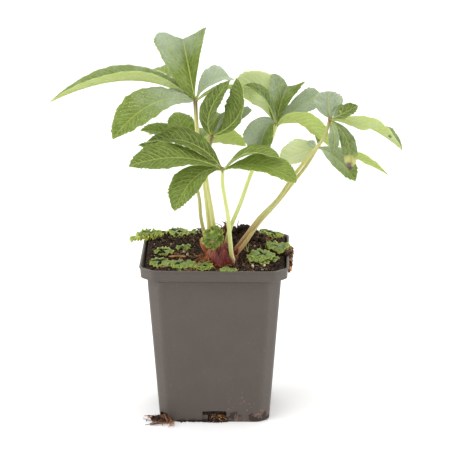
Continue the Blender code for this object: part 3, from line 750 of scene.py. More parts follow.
GRIT_PLACES = (  # mm, and the grain's radius
    (-19.5, 3.0, 0.9), (-17.0, -2.0, 1.0), (-32.0, -9.0, 0.7), (23.0, -22.0, 1.0),
    (30.0, -20.0, 0.8), (-36.0, -22.0, 0.6), (-28.0, 16.0, 0.6), (24.0, 4.0, 0.7),
)
PALE_GRIT = mottled_finish(
    "pale grit", 0.7, (0.56, 0.45, 0.27), (0.72, 0.64, 0.46), 900.0, 3500.0, 0.2 * MM,
)


def make_grit():
    draw = random.Random(13)
    bits = Bits()
    shapes = crumb_shapes(4, 3, 4)
    for x, y, radius in GRIT_PLACES:
        place = (x * MM, y * MM, crumbled_height(x * MM, y * MM) + radius * 0.6 * MM)
        strew(bits, draw, draw.choice(shapes), place, radius * MM)
    for _ in range(SMALL_GRIT):
        x, y = inside_pot(draw)
        radius = draw.uniform(0.2, 0.4) * MM
        strew(bits, draw, draw.choice(shapes), (x, y, crumbled_height(x, y) + radius), radius)
    return bits.piece("pale_grit", PALE_GRIT)


bed = make_peat_bed(PEAT)
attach(bed, "root")
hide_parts("soil")
for loose in (make_crumbs(), make_grit()):
    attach(loose, "root")
hairs = make_fibres()
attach(hairs, "root")


# Crown: the short, thick, reddish stock that all the petioles grow from. It
# sits half in the peat, wrapped in the fleshy, streaked bases of its leaves,
# with three pointed buds and some torn orange fibres of last year's bases.

CROWN_CENTRE = Vector((4, -10.5, 96)) * MM
CROWN_RADII = Vector((9.5, 9.5, 11)) * MM
CROWN_LUMPS = 0.10  # as a share of its radii
LUMPS_ACROSS = 2.2
CROWN_ROWS, CROWN_COLUMNS = 41, 64
SHEATH_ROWS, SHEATH_COLUMNS = 29, 25
SHEATH_SHIFT = 3.1  # so that no two sheaths have the same streaks
BUD_ROWS, BUD_SIDES = 24, 20
CROWN_FIBRES = 26
UV_SPAN = 10 * MM  # one unit of the UV maps that are laid out in real lengths
SALMON_FROM, FOOT_FROM = (0.111, 0.121), (0.102, 0.090)  # heights where they begin and are full
CROWN_CRIMSON = (0.060, 0.005, 0.006)
CROWN_RED = (0.205, 0.022, 0.020)
CROWN_SALMON = (0.58, 0.21, 0.095)
CROWN_FOOT = (0.040, 0.008, 0.009)
CROWN_LINE = (0.50, 0.17, 0.085)
SHEATHS = (  # degrees: azimuth, half its spread, lowest and highest latitude; mm: how far out
    (-160, 42, -30, 62, 0.4), (-118, 34, -35, 50, 1.0), (-82, 36, -35, 44, 1.6),
    (-45, 32, -35, 52, 1.0), (-12, 30, -30, 56, 0.5), (30, 40, -30, 60, 0.4), (100, 45, -30, 60, 0.4),
    (-138, 26, -40, 20, 1.7), (-62, 22, -40, 14, 2.1), (-100, 24, -40, 6, 2.5),
)
BUDS = (  # mm: foot, middle, tip and width
    ((12, -11, 98), (13, -14, 102), (14, -15, 105), 3.2),
    ((3, -3, 99), (3, 0, 105), (4, 1, 110), 5.0),
    ((-3, -7, 98), (-7, -8, 104), (-9, -8, 109), 5.0),
)


def grid_normals(points):
    """The way that each point of a grid faces. Columns run right, and rows away."""
    normals = np.cross(np.gradient(points, axis=1), np.gradient(points, axis=0))
    return normals / np.maximum(np.linalg.norm(normals, axis=2, keepdims=True), 1e-12)


def sheet(upper, lower, gone=None):
    """A closed thin sheet between two grids of points, less the cells that are gone.

    Gives its points, its faces, a 0 for each upper face and a 1 for each other
    one, and which points of the two grids it uses.
    """
    rows, columns = upper.shape[:2]
    number = np.arange(rows * columns).reshape(rows, columns)
    quads = np.stack([number[:-1, :-1], number[:-1, 1:], number[1:, 1:], number[1:, :-1]], -1)
    quads = quads.reshape(-1, 4)
    if gone is not None:
        quads = quads[~gone.ravel()]
    below = rows * columns
    edges = np.concatenate([quads[:, [k, (k + 1) % 4]] for k in range(4)])
    ways, back = edges @ [below, 1], edges @ [1, below]
    rim = edges[~np.isin(ways, back)]
    walls = np.stack([rim[:, 1], rim[:, 0], rim[:, 0] + below, rim[:, 1] + below], -1)
    faces = np.concatenate([quads, quads[:, ::-1] + below, walls])
    used, faces = np.unique(faces, return_inverse=True)
    points = np.concatenate([upper.reshape(-1, 3), lower.reshape(-1, 3)])[used]
    kinds = np.r_[np.zeros(len(quads), int), np.ones(len(quads) + len(walls), int)]
    return points, faces.reshape(-1, 4), kinds.tolist(), used


def grid_map(first, second, used):
    """The UV map of a sheet, from one value or grid for each of its two axes."""
    grids = np.stack(np.broadcast_arrays(first, second), -1)
    return np.tile(grids.reshape(-1, 2), (2, 1))[used]


def crown_point(azimuth, latitude, out):
    """A place on the lumpy stock, and this far out from it."""
    way = Vector((
        math.cos(azimuth) * math.cos(latitude),
        math.sin(azimuth) * math.cos(latitude),
        math.sin(latitude),
    ))
    lump = 1 + CROWN_LUMPS * noise.noise(way * LUMPS_ACROSS)
    return CROWN_CENTRE + way * CROWN_RADII * lump + way * out


def crown_finish():
    """Fleshy skin: salmon where it is exposed, crimson lower down, in streaks."""
    made, tree, shader = new_finish("streaked crimson skin", {
        "Roughness": 0.45, "Specular IOR Level": 0.3, "Subsurface Weight": 0.12,
        "Subsurface Scale": 0.0015,
    })
    streaks = stretched(tree, uv_place(tree, "run"), (26.0, 1.6, 1.0))
    fine = stretched(tree, uv_place(tree, "run"), (90.0, 5.0, 1.0))
    band = grain(tree, streaks, 1.0, 3.0)
    line = grain(tree, fine, 1.0)
    place = split(tree, object_place(tree))
    tilt = scaled(tree, place["X"], -0.75, place["Z"])
    pale = ramp(tree, scaled(tree, band, 0.022, tilt), *SALMON_FROM)
    dark = ramp(tree, scaled(tree, band, 0.014, tilt), *FOOT_FROM)
    colour = mix(tree, ramp(tree, band, 0.35, 0.65), CROWN_CRIMSON, CROWN_RED)
    colour = mix(tree, pale, colour, CROWN_SALMON)
    colour = mix(tree, dark, colour, CROWN_FOOT)
    colour = stained(tree, colour, ramp(tree, line, 0.50, 0.66), 0.6, CROWN_LINE)
    coat(tree, shader, colour, plus(tree, band, line), 0.25 * MM)
    return made


def make_crown():
    bits = Bits("run")
    rows, columns = CROWN_ROWS, CROWN_COLUMNS
    latitudes = np.radians(np.linspace(-89, 89, rows))
    azimuths = np.linspace(0, math.tau, columns + 1)
    stock = np.array([[crown_point(a, b, -0.0003) for a in azimuths] for b in latitudes])
    inner = stock * 1.0
    inner += (np.array(CROWN_CENTRE) - inner) * 0.2
    points, faces, _, used = sheet(stock, inner)
    around, up = np.linspace(0, 4, columns + 1)[None, :], np.linspace(0, 1, rows)[:, None]
    bits.take(points, faces, run=grid_map(around, up, used))
    for number, (azimuth, spread, low, high, out) in enumerate(SHEATHS):
        draw = random.Random(number)
        rise = np.linspace(0, 1, SHEATH_ROWS)[:, None]
        across = np.linspace(-1, 1, SHEATH_COLUMNS)[None, :]
        narrow = (1 - rise**1.7) ** 0.55 + 0.03
        azimuths = np.radians(azimuth + spread * across * narrow + 6 * rise * draw.uniform(-1, 1))
        latitudes = np.radians(low + (high - low) * rise) + 0 * across
        lift = out * MM * (1 - 0.45 * across**2) + 0.9 * MM * rise**4
        ridges = 0.12 * MM * np.sin(across * 19 + number) * (1 - rise)
        outer = np.array([
            [crown_point(*place) for place in zip(*row)]
            for row in zip(azimuths, latitudes, lift + ridges)
        ])
        under = outer - grid_normals(outer) * 0.5 * MM
        points, faces, _, used = sheet(outer, under)
        around = number * SHEATH_SHIFT + 0.5 * across * narrow
        bits.take(points, faces, run=grid_map(around, rise, used))
    for number, (foot, middle, tip, width) in enumerate(BUDS):
        path = smooth_path([Vector(p) * MM for p in (foot, middle, tip)], BUD_ROWS)
        share = np.linspace(0, 1, BUD_ROWS + 1)
        radii = width / 2 * MM * np.maximum(share + 0.35, 0) ** 0.4 * (1 - share) ** 0.62 + 0.1 * MM
        points, faces, turns, lengths = tube(path, radii, BUD_SIDES)
        bits.take(points, faces, run=np.stack([number + turns / 3, lengths / UV_SPAN], -1))
    return bits.piece("crown_stock", crown_finish())


def make_crown_fibres():
    """Torn strands of old leaf bases that lie from the crown over the peat."""
    draw = random.Random(21)
    bits = Bits()
    for _ in range(CROWN_FIBRES):
        azimuth = math.radians(draw.uniform(160, 235))
        start = crown_point(azimuth, math.radians(draw.uniform(0, 30)), 0)
        length = draw.uniform(5, 10) * MM
        way = Vector((math.cos(azimuth), math.sin(azimuth), 0))
        points = [start]
        for share in (0.35, 0.7, 1.0):
            place = start + way * length * share
            place += Vector([draw.uniform(-1, 1) for _ in range(3)]) * 1.2 * MM
            place.z = max(place.z - 3.0 * MM * share, crumbled_height(place.x, place.y) + 0.3 * MM)
            points.append(place)
        bits.wisp(points, 14, draw.uniform(0.16, 0.34) * MM, 0.3, 6)
    return bits.piece("crown_fibres", WOOD_FIBRE)


crown = make_crown()
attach(crown, "root")
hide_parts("crown")
strands = make_crown_fibres()
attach(strands, "root")


# Petioles: the long, smooth, slightly ribbed stalks. Each rises from the crown
# to the knuckle where its leaflets meet. They are flushed red at the foot and
# at the knuckle, and range from bright yellow-green to brownish olive.

# Each leaf has the points that its stalk passes through in mm, the radii of its
# foot and top in mm, its skin, and its leaflets: the middle and the tip in mm
# from the knuckle, the width in mm, the way that its upper face looks at its
# base and at its tip, how many degrees its halves fold up, its form, and what
# is special to it.
LEAVES = (
    {
        "stem": ((-2, -3, 97), (-6, 3, 106), (-9, 6, 118), (-10, 8, 129), (-12, 10, 140),
                 (-13, 12, 159)),
        "radii": (1.3, 0.9), "skin": "olive",
        "leaflets": (
            ((-7, 8, 10), (-11, 22, 19), 17, (0, -0.8, 0.5), (0, -0.3, 0.9), 12, "oval",
             {"painted_sheen": (0.3, 0.0)}),
            ((-16, 0, 10), (-33, -3, 13), 14, (0, -0.3, 1), (0, -0.4, 1), 20, "lance",
             {"painted_sheen": (0.4, 0.0)}),
            ((-16, -5, 2), (-34, -9, 5.5), 12, (0, -0.4, 1), (0, -0.4, 1), 15, "lance", {}),
            ((15, 7, 6), (31, 8, 1), 16, (0, 0.8, 0.6), (0.3, 0.7, 0.6), 15, "oval", {}),
            ((-15, 15, 7), (-29, 28, 3), 16, (0, 0, 1), (0, 0, 1), 15, "lance", {}),
            ((8, 17, 7), (15, 33, 3), 16, (0, 0, 1), (0, 0, 1), 15, "lance", {}),
        ),
    },
    {
        "stem": ((-1, -6, 98), (-3, -4, 108), (-4, -4, 120), (-7, -4, 148), (-9, -4, 160),
                 (-11, -4, 177), (-12, -4, 194)),
        "radii": (1.6, 1.2), "skin": "pale",
        "leaflets": (
            ((-3.8, 6, 17.3), (-8, 16.5, 34.4), 31, (0, -1, 0.2), (0, -0.7, 0.7), 34, "wedge", {
                "sides": ((1.42, 0.65, 1, 0.0), (1.10, 1.35, 1, 0.0)), "painted_sheen": (-0.5, 0.8),
                "ahead": ((0, 0.2, 1.8, 1.2, -4.2), (0, -0.4, -0.3, 0.7, 0.4)), "tone": 0.55,
                "lean": -0.25, "midrib": 2.2}),
            ((-39, 1, 12.4), (-87, -5, 0), 20, (0, -0.13, 1), (0, 0.0, 1), 46, "slender", {
                "painted_sheen": (0.5, 0.3), "flutter": 0.5, "tone": 0.6}),
            ((-25, -14, 1), (-48, -30, -17), 25, (-0.1, -0.5, 0.9), (-0.3, -0.7, 0.6), 14,
             "broad", {"painted_sheen": (1.1, -0.1), "tone": 0.7, "quilt": 2.6}),
            ((8, 14, 8.5), (20, 27, 8.5), 20, (-0.2, -0.7, 0.6), (0, -0.4, 0.9), 20, "wedge",
             {"painted_sheen": (1.2, 1.3), "tone": 0.4}),
            ((18, 4, 7), (36, 3, 3), 9, (0, 0.1, 1), (0, 0.1, 1), 20, "slender",
             {"painted_sheen": (0.2, 0.6)}),
            ((-16, 20, 11.7), (-36, 42, 5.5), 20, (0, 0, 1), (0, 0, 1), 20, "lance", {}),
        ),
    },
    {
        "stem": ((1, -11, 98), (0, -10, 108), (-1, -10, 120), (-5, -11, 146), (-5, -11, 157),
                 (-2, -10, 173)),
        "radii": (1.5, 1.1), "skin": "pale",
        "leaflets": (
            ((-1, 1, 15), (11, 4, 34), 14, (-0.4, -0.7, 0.4), (-0.5, -0.6, 0.4), 20, "lance",
             {"tone": -0.25, "midrib": 1.2}),
            ((17, -4, 16), (15, -2, 37), 23, (-0.6, -0.6, 0.4), (-0.8, -0.4, 0.2), 25, "lance",
             {"tone": -0.05, "hole": (0.34, 3.2, 0.9), "midrib": 1.5}),
            ((12, 6, 9), (24, 8, 15), 12, (0, -0.4, 0.9), (0, -0.4, 0.9), 15, "oval",
             {"painted_sheen": (1.7, 1.7)}),
            ((3, 17, 9), (8, 36, 3), 18, (0, 0, 1), (0, 0, 1), 18, "lance", {}),
        ),
    },
    {
        "stem": ((9, -15, 92), (11, -18, 98), (10, -19, 104), (8, -20, 127), (5, -21, 146),
                 (5, -22, 156)),
        "radii": (1.5, 1.1), "skin": "fresh",
        "leaflets": (
            ((-20, -1, 16.5), (-46, 2, 16), 17, (-0.3, -0.7, 0.7), (-0.1, -0.2, 1), 26, "lance",
             {"tone": -0.2, "painted_sheen": (-0.4, -0.2)}),
            ((-26, -12, 10), (-55, -22, 7), 22, (-0.1, -0.6, 0.8), (0, -0.5, 0.9), 14, "spoon",
             {"tone": 0.15, "painted_sheen": (-0.3, -0.3)}),
            ((-16, -12, -2), (-28, -26, -19), 20, (-0.3, -0.6, 0.7), (-0.4, -0.8, 0.4), 18,
             "spoon", {"tone": 0.2, "teeth": 1.3, "painted_sheen": (-0.2, -0.2)}),
            ((16, -5, 11), (34, -11, 10), 15, (0, -0.15, 1), (0, -0.2, 1), 22, "lance",
             {"painted_sheen": (0.3, 0.0), "tone": 0.5}),
            ((24, -8, 4), (44, -16, -4), 20, (0.1, -0.45, 0.9), (0.3, -0.5, 0.8), 18, "lance",
             {"tone": 0.95}),
        ),
    },
    {
        "stem": ((5, -6, 98), (7, -8, 107), (10, -9, 118), (16, -8, 133), (22, -6, 150),
                 (28, -5, 161), (33, -4, 168), (37, -2, 179)),
        "radii": (1.4, 1.1), "skin": "fresh",
        "leaflets": (
            ((2.2, 4.0, 10.8), (6.5, 10, 21.6), 24, (0, -0.95, 0.3), (-0.1, -0.8, 0.6), 30,
             "wedge", {
                "sides": ((1.0, 0.5, 1, 0.0), (0.95, 1.2, 1, 0.0)), "painted_sheen": (-0.3, 0.5),
                "ahead": ((0, 2.4, 3.0, 2.8, 1.4), (0, 0.2, 1.4, 3.2, 4.6)), "tone": 0.2,
                "lean": -0.3}),
            ((13, 5, 9.4), (26.5, 8, 17), 14, (0, -0.8, 0.5), (0, -0.8, 0.5), 15, "club",
             {"painted_sheen": (1.0, 1.7), "tone": 0.4}),
            ((-8, -4, 18), (-19.5, -8, 26), 9, (0.6, -0.5, 0.5), (0.7, -0.5, 0.5), 36, "slender",
             {"painted_sheen": (0.5, 0.2), "tone": 0.0}),
            ((-9, 8, 19.0), (-27, 6, 20.0), 22, (-0.3, 0.95, 0.15), (-0.2, 0.9, 0.3), 8, "oval",
             {"painted_sheen": (1.6, 1.5), "tone": 0.8}),
            ((-6, -4, -1.5), (-10.2, -8, -15.4), 24, (-0.2, -0.6, 0.8), (-0.3, -0.8, 0.5), 38, "club",
             {"painted_sheen": (0.9, 0.5), "tone": 0.2, "lean": 0.8}),
            ((16, -7, 2.2), (32, -9, -11.6), 18, (-0.1, 0.75, 0.7), (0.5, 0.6, 0.6), 20, "oval",
             {"tone": 0.3}),
            ((6, 19, 7), (13, 36, -3), 18, (0, 0, 1), (0, 0.3, 1), 18, "lance", {}),
        ),
    },
    {
        "stem": ((9, -8, 98), (13, -8, 103), (18, -9, 110), (27, -11, 123), (38, -12, 135),
                 (48, -14, 151), (57, -15, 163), (65, -17, 174), (69, -18, 186)),
        "radii": (1.4, 1.0), "skin": "olive",
        "leaflets": (
            ((-1, 4, 8), (-1, 10, 15), 18, (0, -0.8, 0.5), (0, -0.6, 0.8), 15, "oval",
             {"painted_sheen": (0.6, 1.1), "flutter": 3.0, "quilt": 3.0, "tone": -0.1}),
            ((7.5, -2, 4.2), (16.5, 0, 8.6), 11, (0, -0.6, 0.8), (0, -0.6, 0.8), 18, "lance",
             {"painted_sheen": (0.7, -0.2), "flutter": 3.0, "tone": -0.2, "hole": (0.45, -1.6, 0.8)}),
            ((2.8, -7, -9), (1.4, -8, -19.5), 7.5, (-0.4, -0.9, 0.1), (-0.4, -0.9, 0), 25, "slender",
             {"painted_sheen": (0.7, 0.4), "tone": 0.1}),
            ((10.3, -6, -12), (12.0, -6, -29.5), 10, (0.3, -0.9, 0.3), (0.2, -1, 0.1), 24, "oval",
             {"curl": 60, "painted_sheen": (0.6, 0.2), "flutter": 3.0, "brown": 1.0, "tone": 0.0}),
            ((22.5, 0, -4.2), (43, -4, -17.5), 16, (0.0, 0.8, 0.6), (0.45, -0.15, 0.8), 8, "lance",
             {"turn": (0.38, 0.85), "fold_tip": 60, "hole": (0.80, 1.6, 1.3), "tone": 0.4,
              "painted_sheen": (0.5, 0.5)}),
            ((4, 17, 3), (9, 31, -8), 16, (0, 0, 1), (0, 0.3, 1), 18, "lance", {}),
        ),
    },
    {
        "stem": ((10, -13, 97), (13, -13, 101), (18, -12, 107), (27, -8, 119.5), (38, -3, 131),
                 (48.5, 2, 143.5), (56, 5, 153), (62, 8, 163)),
        "radii": (1.3, 1.0), "skin": "olive",
        "leaflets": (
            ((-11, -3, -3), (-23, -6, -7), 20, (0, 0.9, 0.4), (-0.1, 0.85, 0.5), 10, "oval",
             {"tone": 0.9, "painted_sheen": (1.3, 1.1)}),
            ((12, -4, -7), (23, -10, -19), 16, (0.2, -0.6, 0.8), (0.4, -0.7, 0.6), 18, "lance",
             {"painted_sheen": (1.0, 0.2), "tone": 0.5}),
            ((22, 6, -7), (43.5, 6, -19), 10, (0.1, 0.6, 0.8), (0.3, 0.6, 0.7), 14, "slender", {}),
            ((5, 16, 3), (10, 31, -6), 16, (0, 0, 1), (0, 0.3, 1), 18, "lance", {}),
            ((-2.6, -3, 1.6), (-6, -4, 4.4), 5, (0, -0.8, 0.5), (0, -0.8, 0.5), 20, "oval",
             {"painted_sheen": (1.2, 1.2), "tone": 0.0}),
        ),
    },
)
PETIOLE_COLOURS = {  # skin, paler ribs, flushed foot; where flush ends, brown top begins; browning
    "fresh": ((0.57, 0.65, 0.19), (0.80, 0.82, 0.44), (0.46, 0.10, 0.07), 0.24, 0.955, 0.22),
    "pale": ((0.58, 0.59, 0.18), (0.80, 0.77, 0.40), (0.55, 0.28, 0.13), 0.24, 0.80, 0.22),
    "olive": ((0.44, 0.44, 0.13), (0.62, 0.60, 0.28), (0.40, 0.20, 0.10), 0.42, 0.94, 0.75),
}
PETIOLE_BROWN = (0.25, 0.13, 0.05)
PETIOLE_STAIN = (0.085, 0.055, 0.020)
PETIOLE_SIDES = 24
PETIOLE_STATIONS = 90
PETIOLE_RIBS = 5
RIB_DEPTH = 0.05  # as a share of the radius


def petiole_finish(name, colours):
    skin, rib, flush, flushed, top, browning = colours
    made, tree, shader = new_finish(f"{name} petiole skin", {
        "Roughness": 0.40, "Specular IOR Level": 0.3, "Subsurface Weight": 0.15,
        "Subsurface Scale": 0.001,
    })
    run = split(tree, uv_place(tree, "run"))
    turn = split(tree, uv_place(tree, "turn"))
    around = add(tree, "CombineXYZ", {
        "X": turn["X"], "Y": turn["Y"],
        "Z": times(tree, run["X"], 0.12),
    }).outputs["Vector"]
    streaks = ramp(tree, grain(tree, around, 3.2, 3.0), 0.35, 0.68)
    colour = mix(tree, streaks, skin, rib)
    brown = ramp(tree, grain(tree, around, 5.5, 2.0), 0.58, 0.70)
    colour = stained(tree, colour, brown, browning, PETIOLE_BROWN)
    foot = ramp(tree, scaled(tree, streaks, 0.08, run["Y"]), flushed, 0.08)
    colour = stained(tree, colour, foot, 0.85, flush)
    browned = ramp(tree, scaled(tree, streaks, -0.06, run["Y"]), top, 0.99)
    colour = stained(tree, colour, browned, 0.9, PETIOLE_STAIN)
    coat(tree, shader, colour, streaks, 0.08 * MM)
    return made


def make_petiole(number, leaf, finish):
    path = smooth_path([Vector(p) * MM for p in leaf["stem"]], PETIOLE_STATIONS)
    share = np.linspace(0, 1, PETIOLE_STATIONS + 1)[:, None]
    foot, top = (radius * MM for radius in leaf["radii"])
    turns = np.arange(PETIOLE_SIDES) * math.tau / PETIOLE_SIDES
    ribs = 1 + RIB_DEPTH * np.cos(PETIOLE_RIBS * turns)[None, :]
    flare = 1 + 0.25 * np.exp(-share * 14) + 0.18 * np.exp(-(1 - share) * 40)
    points, faces, angles, lengths = tube(path, (foot + (top - foot) * share) * ribs * flare,
                                          PETIOLE_SIDES)
    bits = Bits("run", "turn")
    bits.take(
        points, faces,
        run=np.stack([lengths / UV_SPAN, lengths / lengths.max()], -1),
        turn=np.stack([np.cos(angles), np.sin(angles)], -1),
    )
    return bits.piece(f"petiole_{number}", finish)


PETIOLE_SKINS = {name: petiole_finish(name, colours) for name, colours in PETIOLE_COLOURS.items()}
for number, leaf in enumerate(LEAVES, 1):
    petiole = make_petiole(number, leaf, PETIOLE_SKINS[leaf["skin"]])
    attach(petiole, "root")
    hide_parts(f"stem_{number}")


# Leaves: each is a fan of leathery leaflets that grow from one knuckle. A
# leaflet is a thin blade, folded along a pale midrib, puckered between its
# side veins and finely toothed, satin green above and pale yellow-green below.

BLADE_STATIONS = 72
BLADE_COLUMNS = 10  # on each side of the midrib
CROWDING = 1.45  # how the stations crowd toward the point
STALK_HALF = 0.75 * MM
BLADE_THICKNESS = 0.32 * MM
LEAFLET_START = 0.8 * MM
PLAIN_TO = 0.25  # the share of a leaflet's length that has no teeth
TOOTH_SPACING = 2.2 * MM
TOOTH_LENGTH = 0.50 * MM
TOOTH_RISE, TOOTH_FALL = 0.7, 0.3  # shares of a tooth before and after its point
WAVE, WAVES = 0.07, 1.5  # of the margin, as on the solids inside
FLUTTER = 0.035  # of the margin, beside the half width
FLUTTER_LENGTHS = 9 * MM, 5.3 * MM
VEIN_SPACING = 3.6 * MM
VEIN_SLANT = 0.95  # how far a side vein runs ahead, beside its way outward
VEIN_HEIGHT = 0.07 * MM
MIDRIB_HEIGHT, MIDRIB_HALF, GROOVE = 0.45 * MM, 0.5 * MM, 0.22 * MM
PUCKER = 0.34 * MM
BUMP_HEIGHT, BUMP_SCALE = 0.5 * MM, 260  # of the bumps on a quilted leaflet
AHEAD_AT = (0, 0.3, 0.6, 0.85, 1)  # the shares of the half width where "ahead" is given, in mm
MIDRIB_GREEN = (0.52, 0.60, 0.15)
LEAF_SPECK = (0.30, 0.28, 0.10)
LEAF_YELLOWED = (0.48, 0.48, 0.17)
LEAF_BROWNED = (0.12, 0.07, 0.08)
FORMS = {  # t**a * (1 - t**b)**c: how the outline swells from the base and closes at the point
    "lance": (1.05, 2.1, 0.95), "wedge": (1.35, 6.0, 0.60), "oval": (0.75, 2.4, 0.72),
    "slender": (0.85, 1.7, 0.95), "broad": (0.65, 3.2, 0.92), "spoon": (1.15, 3.1, 0.95),
    "club": (0.90, 6.0, 0.60),
}
# What is usual for a leaflet: its painted sheen at the base and at the tip, a
# pale tint in the colour that stands in for the white surround glancing off the
# blade or shining through it, how much its margin flutters, how quilted it is,
# how many degrees its margins curl down, how large its teeth are, how brown its
# point is, how clear its midrib is, and how far the painted sheen leans to its
# right. Some also have the shares, outlines and forward pull of their two sides
# ("sides", "ahead"), a tone from dark 0 to light 1, a hole (its place along and
# across, its radius), another fold at the tip, and the stretch over which they
# turn to their tip's face.
PLAIN_LEAFLET = {
    "painted_sheen": (0.0, 0.0), "flutter": 1.0, "quilt": 1.0, "curl": 0.0, "teeth": 1.0, "brown": 0.0,
    "midrib": 1.0, "lean": 0.0,
}
USUAL_TURN = (0.40, 0.75)


def smoothstep(low, high, value):
    t = np.clip((value - low) / (high - low), 0, 1)
    return t * t * (3 - 2 * t)


def leaflet(hub, middle, tip, width, base_face, tip_face, fold, form, extra):
    """The sheet of one leaflet: points, faces, kinds and UV maps."""
    draw = random.Random(extra["seed"])
    steps = np.linspace(0, 1, BLADE_STATIONS + 1)
    t = 1 - (1 - steps) ** CROWDING
    middle, tip = np.array(middle) * MM, np.array(tip) * MM
    base = middle / np.linalg.norm(middle) * LEAFLET_START
    bend = 2 * middle - (base + tip) / 2
    at = t[:, None]
    spine = np.array(hub) + (1 - at) ** 2 * base + 2 * at * (1 - at) * bend + at**2 * tip
    travel = 2 * (1 - at) * (bend - base) + 2 * at * (tip - bend)
    travel /= np.linalg.norm(travel, axis=1, keepdims=True)
    faces = [np.array(face) / np.linalg.norm(face) for face in (base_face, tip_face)]
    turned = smoothstep(*extra["turn"], at) if "turn" in extra else at
    up = faces[0] * (1 - turned) + faces[1] * turned
    up -= (up * travel).sum(1, keepdims=True) * travel
    up /= np.linalg.norm(up, axis=1, keepdims=True)
    side = np.cross(travel, up)
    run = np.r_[0, np.cumsum(np.linalg.norm(np.diff(spine, axis=0), axis=1))]

    reach = np.linspace(0, 1, BLADE_COLUMNS + 1)
    folding = smoothstep(*extra.get("turn", USUAL_TURN), t)
    folds = fold + (extra.get("fold_tip", fold) - fold) * folding
    slant = np.radians(folds)[:, None] * (1.35 - 0.7 * reach)
    slant = slant - math.radians(extra["curl"]) * reach**2
    slant = (slant[:, 1:] + slant[:, :-1]) / 2
    out, rise = (
        np.pad(np.cumsum(part, axis=1) / BLADE_COLUMNS, ((0, 0), (1, 0)))
        for part in (np.cos(slant), np.sin(slant))
    )

    sides = []
    for which, sign in enumerate((-1, 1)):
        share, swell, narrow, point = extra.get("sides", ((1.0, *FORMS[form]),) * 2)[which]
        outline = t**swell * np.maximum(1 - t**narrow, 1e-9) ** point
        outline *= share / outline.max()
        half = np.maximum(width / 2 * MM * outline, STALK_HALF * (1 - t) + 0.05 * MM)
        w = half[:, None]
        x = w * reach
        teeth = run[:, None] / TOOTH_SPACING + 0.3 * np.sin(run[:, None] / (2.9 * MM) + sign)
        saw = np.where(teeth % 1 < TOOTH_RISE, (teeth % 1) / TOOTH_RISE, (1 - teeth % 1) / TOOTH_FALL)
        saw = saw * smoothstep(PLAIN_TO - 0.06, PLAIN_TO + 0.12, t)[:, None] * reach**9
        uneven = 0.75 + 0.45 * np.sin(run[:, None] / (1.7 * MM) + 2 * sign + extra["seed"])
        saw = saw * (0.7 + 0.9 * smoothstep(0.55, 0.95, t)[:, None]) * uneven * extra["teeth"]
        tooth = TOOTH_LENGTH * np.minimum(w / (4 * MM), 1) * saw
        curve = VEIN_SLANT * x * (1 + 0.25 * reach)
        veins = (run[:, None] - curve) / VEIN_SPACING + 0.35 + 0.3 * sign
        lateral = w * out + tooth
        ripple = np.sin(WAVES * math.tau * t[:, None] + 2 * sign)
        flutter = np.sin(math.tau * (run[:, None] / FLUTTER_LENGTHS[0] + draw.random()))
        flutter += 0.6 * np.sin(math.tau * (run[:, None] / FLUTTER_LENGTHS[1] + draw.random()))
        lift = w * rise + WAVE * x * ripple + FLUTTER * extra["flutter"] * w * reach**2.5 * flutter
        inner = smoothstep(0.02, 0.3, reach) * (1 - reach**5)
        puffed = 0.5 - 0.5 * np.cos(math.tau * veins)
        lift += PUCKER * extra["quilt"] * puffed * inner * np.minimum(w / (5 * MM), 1)
        lift -= GROOVE * np.exp(-((x / MIDRIB_HALF) ** 2)) * (1 - t[:, None])
        ahead = 0.7 * tooth
        if "ahead" in extra:
            ahead = ahead + np.interp(reach, AHEAD_AT, extra["ahead"][which]) * MM * at**3
        points = (spine[:, None] + sign * lateral[..., None] * side[:, None]
                  + lift[..., None] * up[:, None] + ahead[..., None] * travel[:, None])
        ridge = MIDRIB_HEIGHT * np.exp(-((x / MIDRIB_HALF) ** 2)) * (1 - 0.8 * t[:, None])
        near_vein = np.exp(-(((veins + 0.5) % 1 - 0.5) / 0.09) ** 2)
        ridge += VEIN_HEIGHT * near_vein * (1 - reach**2)
        thick = BLADE_THICKNESS * (1 - 0.5 * reach**4) + ridge
        sides.append((points, thick, sign * x, veins))
    points, thick, x, veins = (
        np.concatenate([left[:, :0:-1], right], axis=1) for left, right in zip(*sides)
    )
    shape = x.shape
    if extra["quilt"] > 1:
        bumps = np.array([[noise.noise(Vector(spot) * BUMP_SCALE) for spot in row] for row in points])
        soft = np.minimum(abs(x) / (2 * MM), 1)
        points += (BUMP_HEIGHT * (extra["quilt"] - 1) * bumps * soft)[..., None] * up[:, None]
    gone = None
    if "hole" in extra:
        at_t, at_x, radius = extra["hole"]
        row = int(np.argmin(abs(t - at_t)))
        centre = points[row, int(np.argmin(abs(x[row] - at_x * MM)))].copy()
        apart = points - centre
        distance = np.linalg.norm(apart, axis=2)
        inside = distance < radius * MM
        gone = inside[:-1, :-1] & inside[1:, 1:] & inside[:-1, 1:] & inside[1:, :-1]
        if gone.any():
            push = np.where(inside, radius * MM / np.maximum(distance, 1e-6), 1.0)
            points = centre + apart * push[..., None]
        else:
            gone = None
    lower = points - grid_normals(points) * thick[..., None]
    made, quads, kinds, used = sheet(points, lower, gone)
    spread = np.broadcast_to(np.r_[-reach[:0:-1], reach], shape)
    along = np.broadcast_to(t[:, None], shape)
    # The painted sheen at each point, from base to tip and leaning to one side; the finish paints it in
    # as a pale tint that stands in for reflected light.
    painted_sheen = extra["painted_sheen"][0] + (extra["painted_sheen"][1] - extra["painted_sheen"][0]) * along
    painted_sheen = painted_sheen + extra["lean"] * spread

    maps = {
        "span": grid_map(x / UV_SPAN, run[:, None] / UV_SPAN, used),
        "veins": grid_map(veins, abs(spread), used),
        "tone": grid_map(extra.get("tone", draw.random()), painted_sheen, used),
        "age": grid_map(extra["brown"] * along, (1 - 0.7 * along) * extra["midrib"], used),
    }
    return made, quads, kinds, maps


